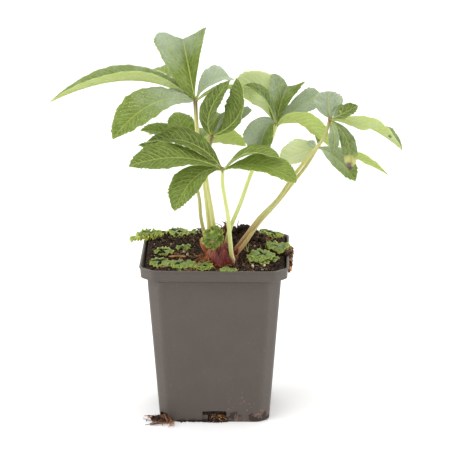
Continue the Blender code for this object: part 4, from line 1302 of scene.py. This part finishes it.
def make_veins():
    """The net of veins, from the maps that the blades carry."""
    group, _, gives = new_group(
        "leaf veins", (), (("Midrib", "Float"), ("Side Veins", "Float"), ("Net", "Float"),
                           ("Margin", "Float")),
    )
    veins = split(group, uv_place(group, "veins"))
    strength = split(group, uv_place(group, "age"))["Y"]
    span = uv_place(group, "span")
    across = maths(group, "ABSOLUTE", split(group, span)["X"])
    wobble = scaled(group, grain(group, span, 2.5, 2.0), 0.3, veins["X"])
    apart = maths(group, "ABSOLUTE", maths(group, "SUBTRACT", maths(group, "FRACT", wobble), 0.5))
    narrow = scaled(group, veins["Y"], -0.05, 0.13)
    side = ramp(group, maths(group, "SUBTRACT", 0.5, apart), narrow, 0.0)
    fading = ramp(group, veins["Y"], 1.0, 0.55)
    drawn_out = add(group, "CombineXYZ", {
        "X": times(group, veins["X"], VEIN_SPACING / UV_SPAN),
        "Y": times(group, across, 0.55),
    }).outputs["Vector"]
    strayed = add(group, "VectorMath", {
        0: add(group, "TexNoise", {"Vector": span, "Scale": 6.0}).outputs["Color"],
        1: (0.06, 0.06, 0.0), 2: drawn_out,
    }, operation="MULTIPLY_ADD")
    coarse_net = ramp(group, cell_edges(group, strayed.outputs[0], 6.5), 0.15, 0.02)
    fine_net = ramp(group, cell_edges(group, strayed.outputs[0], 15.0), 0.16, 0.02)
    both = scaled(group, fine_net, 0.55, coarse_net)
    midrib = ramp(group, across, 0.065, 0.020)
    group.links.new(times(group, midrib, strength), gives["Midrib"])
    group.links.new(times(group, side, fading), gives["Side Veins"])
    group.links.new(both, gives["Net"])
    group.links.new(ramp(group, veins["Y"], 0.93, 1.0), gives["Margin"])
    return group


VEINS = make_veins()


def leaf_finish(name, shades, vein, painted_sheen, roughness, glow, net_share, relief_way):
    """The skin of one face of the blades: its shades, veins, painted sheen and gloss."""
    made, tree, shader = new_finish(name, {
        "Specular IOR Level": 0.2, "Subsurface Weight": glow, "Subsurface Scale": 0.0012,
        "Subsurface Radius": (0.8, 1.0, 0.25),
    })
    veins = add(tree, "Group", node_tree=VEINS)
    tone = split(tree, uv_place(tree, "tone"))
    age = split(tree, uv_place(tree, "age"))
    place = object_place(tree)
    clouds = grain(tree, place, 130.0, 3.0)
    spots = ramp(tree, grain(tree, place, 1000.0, 3.0), 0.35, 0.65)
    share = scaled(tree, clouds, 0.5, times(tree, tone["X"], 0.6))
    share = plus(tree, times(tree, spots, 0.30), maths(tree, "SUBTRACT", share, 0.22))
    colour = mix(tree, share, *shades)
    net = times(tree, veins.outputs["Net"], net_share)
    # Painted sheen: the colour turns toward a pale grey-green where the tone map's second value is high,
    # in place of the white surround glancing off the blade.
    sheen_share = ramp(tree, scaled(tree, clouds, 0.7, tone["Y"]), 0.50, 1.35)
    sheen_share = times(tree, sheen_share, scaled(tree, spots, 0.25, 0.65))
    colour = mix(tree, sheen_share, colour, painted_sheen)
    colour = mix(tree, net, colour, vein)
    colour = stained(tree, colour, veins.outputs["Side Veins"], 0.7, vein)
    colour = stained(tree, colour, veins.outputs["Margin"], 0.45, vein)
    colour = stained(tree, colour, veins.outputs["Midrib"], 0.75, MIDRIB_GREEN)
    dots = speckle(tree, 500.0, 0.3, 0.1)
    colour = stained(tree, colour, dots, 0.5, LEAF_SPECK)
    aged = scaled(tree, clouds, 0.25, age["X"])
    colour = mix(tree, ramp(tree, aged, 0.86, 0.98), colour, LEAF_YELLOWED)
    colour = mix(tree, ramp(tree, aged, 1.00, 1.06), colour, LEAF_BROWNED)
    dull = scaled(tree, clouds, 0.14, roughness - 0.07)
    tree.links.new(scaled(tree, sheen_share, 0.12, dull), shader.inputs["Roughness"])
    relief = times(tree, veins.outputs["Net"], 0.4)
    relief = scaled(tree, veins.outputs["Side Veins"], 1.2, relief)
    relief = times(tree, relief, relief_way)
    coat(tree, shader, colour, scaled(tree, spots, 0.5, relief), 0.10 * MM)
    return made


# The fourth colour of each face is its painted sheen, a pale tint that stands in for light from the
# white surround.
LEAF_UPPER = leaf_finish(
    "leaf, upper face", ((0.058, 0.092, 0.012), (0.185, 0.262, 0.034)), (0.36, 0.45, 0.12),
    (0.42, 0.48, 0.41), 0.43, 0.06, 0.27, -1.0,
)
LEAF_UNDER = leaf_finish(
    "leaf, underside", ((0.36, 0.44, 0.11), (0.50, 0.57, 0.20)), (0.58, 0.64, 0.30),
    (0.56, 0.61, 0.44), 0.62, 0.40, 0.24, 1.0,
)
KNUCKLE_SKIN = mottled_finish(
    "flushed knuckle skin", 0.45, (0.22, 0.06, 0.035), (0.36, 0.34, 0.09), 420.0, 1500.0, 0.1 * MM,
)
KNUCKLE_RADIUS = 1.35 * MM

for number, leaf in enumerate(LEAVES, 1):
    bits = Bits("span", "veins", "tone", "age")
    hub = Vector(leaf["stem"][-1]) * MM
    for place, (*values, extra) in enumerate(leaf["leaflets"]):
        extra = {**PLAIN_LEAFLET, "seed": 10 * number + place, **extra}
        points, faces, kinds, maps = leaflet(hub, *values, extra)
        bits.take(points, faces, kinds, **maps)
    points, faces = crumb_shapes(1, 3, number)[0]
    blank = np.zeros((len(points), 2))
    bits.take(points * KNUCKLE_RADIUS + np.array(hub), faces, 2,
              span=blank, veins=blank, tone=blank, age=blank)
    blades = bits.piece(f"leaflets_{number}", LEAF_UPPER, LEAF_UNDER, KNUCKLE_SKIN)
    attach(blades, "root")
    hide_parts(f"leaf_{number}")


# Liverwort: flat, lobed, frilly plants that creep over damp peat. Each patch is
# a rosette of overlapping lobes with crinkled, bright yellow-green margins,
# and the ones at the rim hang over it.

LIVERWORTS = (  # name, place in mm, reach in mm, lobes, height of its frills in mm, yellowness
    ("back_left", (-42, 31), 13.0, 16, 5.4, 1.1),
    ("back", (-25, 37), 8.5, 9, 3.4, 0.6),
    ("back_middle", (-11, 37), 6.5, 7, 2.2, 0.3),
    ("left", (-32, 1), 6.5, 7, 2.4, 0.5),
    ("left_middle", (-19.5, 7), 5, 6, 2.4, 0.2),
    ("front_left", (-33, -17), 6.5, 7, 2.0, 0.5),
    ("front", (-20, -21), 9, 11, 2.2, 0.2),
    ("front_middle", (-7, -24), 7, 9, 2.6, 0.5),
    ("front_right", (9, -31), 6, 8, 1.6, 0.3),
    ("right", (29, -8), 9.5, 11, 1.9, 0.3),
    ("right_rim", (38.0, 6), 8.2, 11, 2.8, 0.5),
    ("back_right", (34, 29), 9.5, 10, 3.4, 0.7),
)
LOBE_LENGTH = 7.5  # mm
THALLUS_GREEN = (0.125, 0.185, 0.022)
THALLUS_OTHER_GREEN = (0.205, 0.290, 0.036)
THALLUS_PORE = (0.24, 0.36, 0.07)
# painted shade for the foot of each lobe, where the lobes above overlap it
THALLUS_FOOT_SHADE = (0.045, 0.080, 0.014)
FRESH_MARGIN = (0.34, 0.44, 0.08)
YELLOW_MARGIN = (0.62, 0.64, 0.11)
DRY_MARGIN = (0.30, 0.19, 0.07)
LOBE_ROWS, LOBE_COLUMNS = 12, 37
LOBE_SPREAD = (48, 72)  # half its fan, in degrees
GOLDEN_TURN = 2.4  # radians from one lobe of a plant to the next
LAYER_RISE = 2.8 * MM  # from the lowest lobe of a plant to its highest
THALLUS_THICKNESS = 0.3 * MM
RIM_REACH = 0.003  # how far each side of the rim's edge a lobe lies level on it
RIM_DROOP = 0.5
FRILL_CENTRE = Vector((-1.0, -17.4, 111.8)) * MM
FRILL_UPWARD = Vector((0, 0.35, 1)).normalized()
FRILL_ACROSS = Vector((1, 0, 0))
FRILL_AXES = np.array([FRILL_ACROSS, FRILL_UPWARD, FRILL_ACROSS.cross(FRILL_UPWARD)])
FRILL_HALF = Vector((4.2, 6.6)) * MM
FRILL_LEAN = 0.35  # how far its top stands to the right
FRILL_LOBES, FRILL_LOBE, FRILL_RUFFLE, FRILL_DEPTH = 18, 4.2 * MM, 3.6 * MM, 3.4 * MM


def ground_height(x, y):
    """The peat, or the rim and, well outside it, a slope down from it."""
    past_side = max(abs(x), abs(y)) - RIM_HALF
    past_corner = (abs(x) + abs(y) - 2 * RIM_HALF + POT_OUTSIDE[-1][2] * MM) * math.sqrt(0.5)
    outside = max(past_side, past_corner)
    if outside < -RIM_REACH:
        return peat_height(x, y)
    return max(PEAT_FRONT, POT_HEIGHT - RIM_DROOP * max(outside - RIM_REACH, 0))


def lobe(draw, foot, heading, length, ruffle, layer):
    """One fan-shaped, frilled lobe of a plant, from its foot outward, over a level floor.

    Gives a grid of points and, for each, how near it is to the margin.
    """
    share = np.linspace(0.03, 1, LOBE_ROWS)[:, None]
    across = np.linspace(-1, 1, LOBE_COLUMNS)[None, :]
    spread = math.radians(draw.uniform(*LOBE_SPREAD))
    phase, turn = draw.uniform(0, math.tau), draw.uniform(0, math.tau)
    notches = abs(np.sin(across * draw.uniform(2.2, 3.2) + phase)) ** 0.5
    teeth = 1 + 0.035 * np.sin(across * 19 + turn) + 0.02 * np.sin(across * 37 + phase)
    edge = length * (0.80 + 0.22 * notches - 0.18 * across**2) * teeth
    out = edge * share
    angle = heading + spread * across * (0.55 + 0.45 * share)
    waves = draw.uniform(1.1, 1.9)
    frill = np.sin(waves * math.tau * across + turn + 1.3 * share)
    frill = frill + 0.2 * np.sin(2.3 * waves * math.tau * across + phase)
    lift = layer * (1 - 0.5 * share**2) + ruffle * (0.15 * share**2 + 0.27 * frill * share**2.2)
    lift = lift - ruffle * draw.uniform(0.0, 0.25) * share**4
    x = foot[0] + np.cos(angle) * out
    y = foot[1] + np.sin(angle) * out
    return np.stack(np.broadcast_arrays(x, y, lift), -1), np.broadcast_to(share**3, lift.shape)


def rosette(draw, reach, lobes, ruffle):
    """The grids of all the lobes of one plant round the origin."""
    for k in range(lobes):
        heading = GOLDEN_TURN * k + draw.uniform(-0.4, 0.4)
        start = reach * draw.uniform(0.05, 0.55) * (1 - 0.9 * k / lobes)
        foot = math.cos(heading) * start, math.sin(heading) * start
        length = min(reach - start * 0.8, LOBE_LENGTH * MM) * draw.uniform(0.75, 1.1)
        yield lobe(draw, foot, heading, length, ruffle, LAYER_RISE * k / lobes)


def liverwort_finish():
    made, tree, shader = new_finish("liverwort", {
        "Roughness": 0.45, "Subsurface Weight": 0.15, "Subsurface Scale": 0.0008,
    })
    place = object_place(tree)
    margin = split(tree, uv_place(tree, "edge"))
    body = mottle(tree, THALLUS_GREEN, THALLUS_OTHER_GREEN, 420.0)
    pores = ramp(tree, cell_edges(tree, place, 1500.0), 0.12, 0.0)
    colour = stained(tree, body, pores, 0.3, THALLUS_PORE)
    lit = ramp(tree, margin["X"], 0.35, 1.0)
    # Painted shade: each lobe is darkened toward its foot, where the lobes laid over it would shade it.
    foot_shade = ramp(tree, margin["X"], 0.10, 0.0)
    colour = stained(tree, colour, foot_shade, 0.12, THALLUS_FOOT_SHADE)
    bright = mix(tree, margin["Y"], FRESH_MARGIN, YELLOW_MARGIN)
    colour = stained(tree, colour, lit, 0.85, bright)
    dry = times(tree, ramp(tree, grain(tree, place, 200.0, 2.0), 0.64, 0.72), lit)
    colour = mix(tree, dry, colour, DRY_MARGIN)
    coat(tree, shader, colour, scaled(tree, pores, -1.0, grain(tree, place, 900.0, 3.0)), 0.12 * MM)
    return made


LIVERWORT = liverwort_finish()


def take_lobe(bits, points, margin, tint):
    lower = points - grid_normals(points) * THALLUS_THICKNESS
    made, faces, _, used = sheet(points, lower)
    bits.take(made, faces, edge=grid_map(margin, tint, used))


for name, (x, y), reach, lobes, ruffle, yellow in LIVERWORTS:
    draw = random.Random(name)
    bits = Bits("edge")
    for points, margin in rosette(draw, reach * MM, lobes, ruffle * MM):
        points = points + np.array([x * MM, y * MM, 0])
        ground = np.array([[ground_height(*spot[:2]) for spot in row] for row in points])
        points[..., 2] += ground + 0.5 * MM
        take_lobe(bits, points[:, ::-1], margin[:, ::-1], yellow * draw.uniform(0.4, 1.3))
    plant = bits.piece(f"thallus_{name}", LIVERWORT)
    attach(plant, "root")
    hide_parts(f"liverwort_{name}")

draw = random.Random("frill")
bits = Bits("edge")
for number in range(FRILL_LOBES):
    away = math.sqrt(1 - (number + 0.5) / FRILL_LOBES)
    angle = GOLDEN_TURN * number + draw.uniform(-0.3, 0.3)
    foot = 0.6 * away * FRILL_HALF.x * math.cos(angle), 0.6 * away * FRILL_HALF.y * math.sin(angle)
    if away < 0.5:
        foot = draw.uniform(-0.3, 0.3) * FRILL_LOBE, draw.choice((-0.45, 0.35)) * FRILL_LOBE
        angle = math.copysign(math.pi / 2, -foot[1])
    foot = foot[0] + FRILL_LEAN * foot[1], foot[1]
    length = FRILL_LOBE * (1.5 - 0.6 * away) * draw.uniform(0.75, 1.25)
    points, margin = lobe(draw, foot, angle + draw.uniform(-0.7, 0.7), length,
                          FRILL_RUFFLE * draw.uniform(0.7, 1.2), FRILL_DEPTH * number / FRILL_LOBES)
    take_lobe(bits, (points @ FRILL_AXES + np.array(FRILL_CENTRE))[:, ::-1], margin[:, ::-1],
              draw.uniform(0.0, 0.5) + 0.7 * (math.cos(angle) < -0.5))
plant = bits.piece("thallus_crown", LIVERWORT)
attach(plant, "root")
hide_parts("liverwort_crown")


# Bark: one orange-brown splinter of pine bark that lies on the peat on the
# left. It is torn along the grain, so its ends are ragged and its faces ribbed.

BARK_CENTRE = Vector((-23, -6)) * MM
BARK_LENGTH = 0.011
BARK_WIDTH = 1.7 * MM
BARK_STRANDS = 7


def make_bark():
    draw = random.Random(31)
    bits = Bits()
    lie = max(
        peat_height(BARK_CENTRE.x + BARK_LENGTH * share, BARK_CENTRE.y)
        for share in (-0.5, -0.25, 0, 0.25, 0.5)
    )
    for strand in range(BARK_STRANDS):
        shift = 2 * strand / (BARK_STRANDS - 1) - 1
        start = BARK_CENTRE.x - BARK_LENGTH * (0.5 - 0.10 * draw.random())
        end = BARK_CENTRE.x + BARK_LENGTH * (0.5 - 0.12 * draw.random())
        y = BARK_CENTRE.y + shift * BARK_WIDTH * 0.42
        z = lie + 0.9 * MM + draw.uniform(-0.12, 0.12) * MM - 0.25 * MM * shift**2
        path = smooth_path([
            (start, y, z), ((2 * start + end) / 3, y + draw.uniform(-0.2, 0.2) * MM, z),
            ((start + 2 * end) / 3, y, z + 0.15 * MM), (end, y + draw.uniform(-0.2, 0.2) * MM, z),
        ], 30)
        share = np.linspace(0, 1, 31)
        radii = 0.42 * MM * np.minimum(np.sin(math.pi * share) ** 0.25 + 0.05, 1)
        bits.strand(path, radii, 9)
    return bits.piece("bark_splinter", WOOD_FIBRE)


bark = make_bark()
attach(bark, "root")
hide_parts("bark_chip")


# Roots: a tuft of wiry brown roots that has grown out of the front left corner
# slot and lies on the ground, with crumbs of peat spilled along the pot's foot.

ROOT_FOOT = Vector((-29.5, -29.5, 2.6)) * MM
ROOTS = 46
ROOT_LENGTH = 16.5 * MM
SPILLED, SPILLED_AT_CORNER = 150, 110


def make_roots():
    draw = random.Random(41)
    bits = Bits()
    for _ in range(ROOTS):
        heading = math.radians(draw.uniform(150, 300))
        length = ROOT_LENGTH * draw.uniform(0.3, 1) ** 1.3
        points = [ROOT_FOOT + Vector([draw.uniform(-1, 1) for _ in range(3)]) * 1.0 * MM]
        for share in (0.25, 0.5, 0.75, 1.0):
            heading += draw.uniform(-0.35, 0.35)
            place = points[0] + Vector((math.cos(heading), math.sin(heading), 0)) * length * share
            place.z = (0.5 + 2.6 * draw.random() * (1 - share * 0.6)) * MM
            points.append(place)
        radius = draw.uniform(0.30, 0.80) * MM
        path = smooth_path(points, 20)
        radii = radius * np.linspace(1, 0.35, 21)
        path[:, 2] = np.maximum(path[:, 2], radii)
        bits.strand(path, radii, 7, draw.choice((0, 0, 0, 0, 1)))
    return bits.piece("loose_roots", ROOT_HAIR, WOOD_FIBRE)


def make_spill():
    draw = random.Random(42)
    bits = Bits()
    shapes = crumb_shapes(6, 2, 7)
    foot = POT_OUTSIDE[0][1] * MM
    for _ in range(SPILLED):
        x = draw.uniform(-foot + 2 * MM, 0.008)
        radius = draw.uniform(0.25, 0.8) * MM
        y = -foot - abs(draw.gauss(0, 1.3)) * MM + 0.5 * MM
        strew(bits, draw, draw.choice(shapes), (x, y, radius * 0.95), radius, 0.8)
    for _ in range(SPILLED_AT_CORNER):
        x, y = -foot + draw.gauss(-0.5, 2.8) * MM, -foot + draw.gauss(0.3, 2.0) * MM
        radius = draw.uniform(0.3, 0.9) * MM
        strew(bits, draw, draw.choice(shapes), (x, y, radius * draw.uniform(1.15, 2.4)), radius)
    return bits.piece("spilled_peat", PEAT)


SLOT_PLUG = (-3.0, 7.2)  # mm: from where to where peat shows in the front slot
PLUG_CRUMBS, PLUG_CURLS = 150, 22


def make_plug():
    """Peat and curled roots that show in the front slot."""
    draw = random.Random(43)
    bits = Bits()
    shapes = crumb_shapes(6, 2, 8)
    foot = POT_OUTSIDE[0][1] * MM
    for _ in range(PLUG_CRUMBS):
        radius = draw.uniform(0.3, 0.9) * MM
        x = draw.uniform(*SLOT_PLUG) * MM
        inward = draw.uniform(-0.2, 2.0) * MM
        z = radius * 1.15 + draw.uniform(0, 1) ** 1.6 * (1 + inward / MM * 2.4) * MM
        place = (x, -foot + inward, z)
        strew(bits, draw, draw.choice(shapes), place, radius, finish=draw.choice((0, 0, 1)))
    for _ in range(PLUG_CURLS):
        x = draw.uniform(SLOT_PLUG[0] + 1, SLOT_PLUG[1] - 1) * MM
        centre = Vector((x, -foot + draw.uniform(-0.6, 1.2) * MM, draw.uniform(0.9, 4.2) * MM))
        size = draw.uniform(0.8, 2.4) * MM
        start, sweep = draw.uniform(0, math.tau), draw.uniform(1.2, 3.6)
        points = []
        for k in range(5):
            angle = start + sweep * k / 4
            way = Vector((math.cos(angle) * 1.3, draw.uniform(-0.3, 0.3), math.sin(angle) * 0.7))
            place = centre + way * size
            place.z = max(place.z, 0.35 * MM)
            points.append(place)
        bits.wisp(points, 16, draw.uniform(0.18, 0.36) * MM, 0.4, 6, draw.choice((2, 2, 3)))
    return bits.piece("slot_peat", PEAT, BROWN_CRUMB, WOOD_FIBRE, ROOT_HAIR)


roots = make_roots()
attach(roots, "root")
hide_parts("root_tuft")
for loose in (make_spill(), make_plug()):
    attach(loose, "root")


# Odds and ends: a clod of peat and roots that hangs over the right side of the
# rim, two short blades of young grass, and dried scraps of old leaf.

CLOD_BITS, CLOD_STRANDS = 300, 26
CLOD_MIDDLE_Y = -1  # mm
CLOD_ON_LIP = 0.2  # the share of it that lies on the lip
CLOD_DROP = 15.0 * MM  # the height that its bits are spread over, with those on the lip
GRASS_BLADES = ((-0.0018, 0.0075), (0.0012, 0.0050))  # how far each leans, and how tall it is
SCRAPS = (  # mm: place, length and width
    (-9.5, -21.0, 4.5, 2.2), (40.0, 5.0, 3.6, 1.4), (-30.0, -27.0, 3.0, 1.2),
)
GRASS_FOOT = Vector((19.5, -4.0)) * MM


def make_clod():
    """Bits of peat on the lip and down its outside, tied together by roots."""
    draw = random.Random(51)
    bits = Bits()
    shapes = crumb_shapes(6, 2, 9)
    for _ in range(CLOD_BITS):
        down = draw.random()
        radius = draw.uniform(0.4, 1.15) * MM
        y = (CLOD_MIDDLE_Y + draw.gauss(0, 4.6) * (1 - 0.5 * down)) * MM
        if down < CLOD_ON_LIP:
            place = (RIM_HALF - draw.uniform(-0.2, 2.0) * MM, y, POT_HEIGHT + radius * 0.6)
        else:
            z = POT_HEIGHT + 0.5 * MM - (down - CLOD_ON_LIP) * CLOD_DROP
            place = (RIM_HALF + draw.uniform(0.0, 2.2) * (1.15 - 0.7 * down) * MM, y, z)
        strew(bits, draw, draw.choice(shapes), place, radius, finish=draw.choice((0, 1, 1, 3)))
    for _ in range(CLOD_STRANDS):
        y = (CLOD_MIDDLE_Y + draw.gauss(0, 2.2)) * MM
        points = [(RIM_HALF - 1.5 * MM, y, POT_HEIGHT + 0.4 * MM)]
        for k in range(1, 5):
            y += draw.uniform(-1.3, 1.3) * MM
            x = RIM_HALF + draw.uniform(0.5, 1.9) * MM
            points.append((x, y, POT_HEIGHT + 0.7 * MM - 2.7 * k * draw.uniform(0.6, 1.0) * MM))
        bits.wisp(points, 16, draw.uniform(0.14, 0.3) * MM, 0.4, 6, draw.choice((2, 3)))
    return bits.piece("rim_clod", PEAT, BROWN_CRUMB, ROOT_HAIR, WOOD_FIBRE)


def make_grass():
    bits = Bits()
    lie = crumbled_height(*GRASS_FOOT)
    for lean, tall in GRASS_BLADES:
        path = smooth_path([
            (*GRASS_FOOT, lie - 0.5 * MM), (GRASS_FOOT.x + lean * 0.3, GRASS_FOOT.y, lie + tall * 0.5),
            (GRASS_FOOT.x + lean, GRASS_FOOT.y - 0.6 * MM, lie + tall),
        ], 24)
        radii = np.outer(0.33 * MM * (1 - np.linspace(0, 1, 25) ** 2 * 0.85),
                         0.35 + 0.65 * abs(np.cos(np.arange(10) * math.tau / 10)))
        bits.strand(path, radii, 10)
    return bits.piece("grass_blades", GRASS)


def make_scraps():
    draw = random.Random(52)
    bits = Bits()
    for x, y, length, width in SCRAPS:
        along = np.linspace(-1, 1, 19)[:, None]
        across = np.linspace(-1, 1, 11)[None, :]
        turn = draw.uniform(-0.5, 0.5)
        round_off = (1 - along**2 * 0.9) ** 0.5
        u = length / 2 * along * (1 + 0.1 * np.sin(across * 5 + turn))
        v = width / 2 * across * round_off * (1 + 0.12 * np.sin(along * 9))
        px = (x + u * math.cos(turn) - v * math.sin(turn)) * MM
        py = (y + u * math.sin(turn) + v * math.cos(turn)) * MM
        px, py = np.broadcast_arrays(px, py)
        lie = max(ground_height(a, b) for a, b in zip(px.ravel(), py.ravel()))
        pz = lie + MM * (1.2 + 0.7 * across**2 + 0.3 * np.sin(along * 4 + turn) + 0 * along)
        points = np.stack([px, py, pz], -1)
        points = points[:, ::-1]
        made, faces, _, _ = sheet(points, points - grid_normals(points) * 0.3 * MM)
        bits.take(made, faces)
    return bits.piece("dried_scraps", STRAW)


GRASS = fibre_finish("young grass", (0.42, 0.58, 0.16), (0.30, 0.45, 0.10))
clod = make_clod()
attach(clod, "root")
grass = make_grass()
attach(grass, "root")
scraps = make_scraps()
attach(scraps, "root")
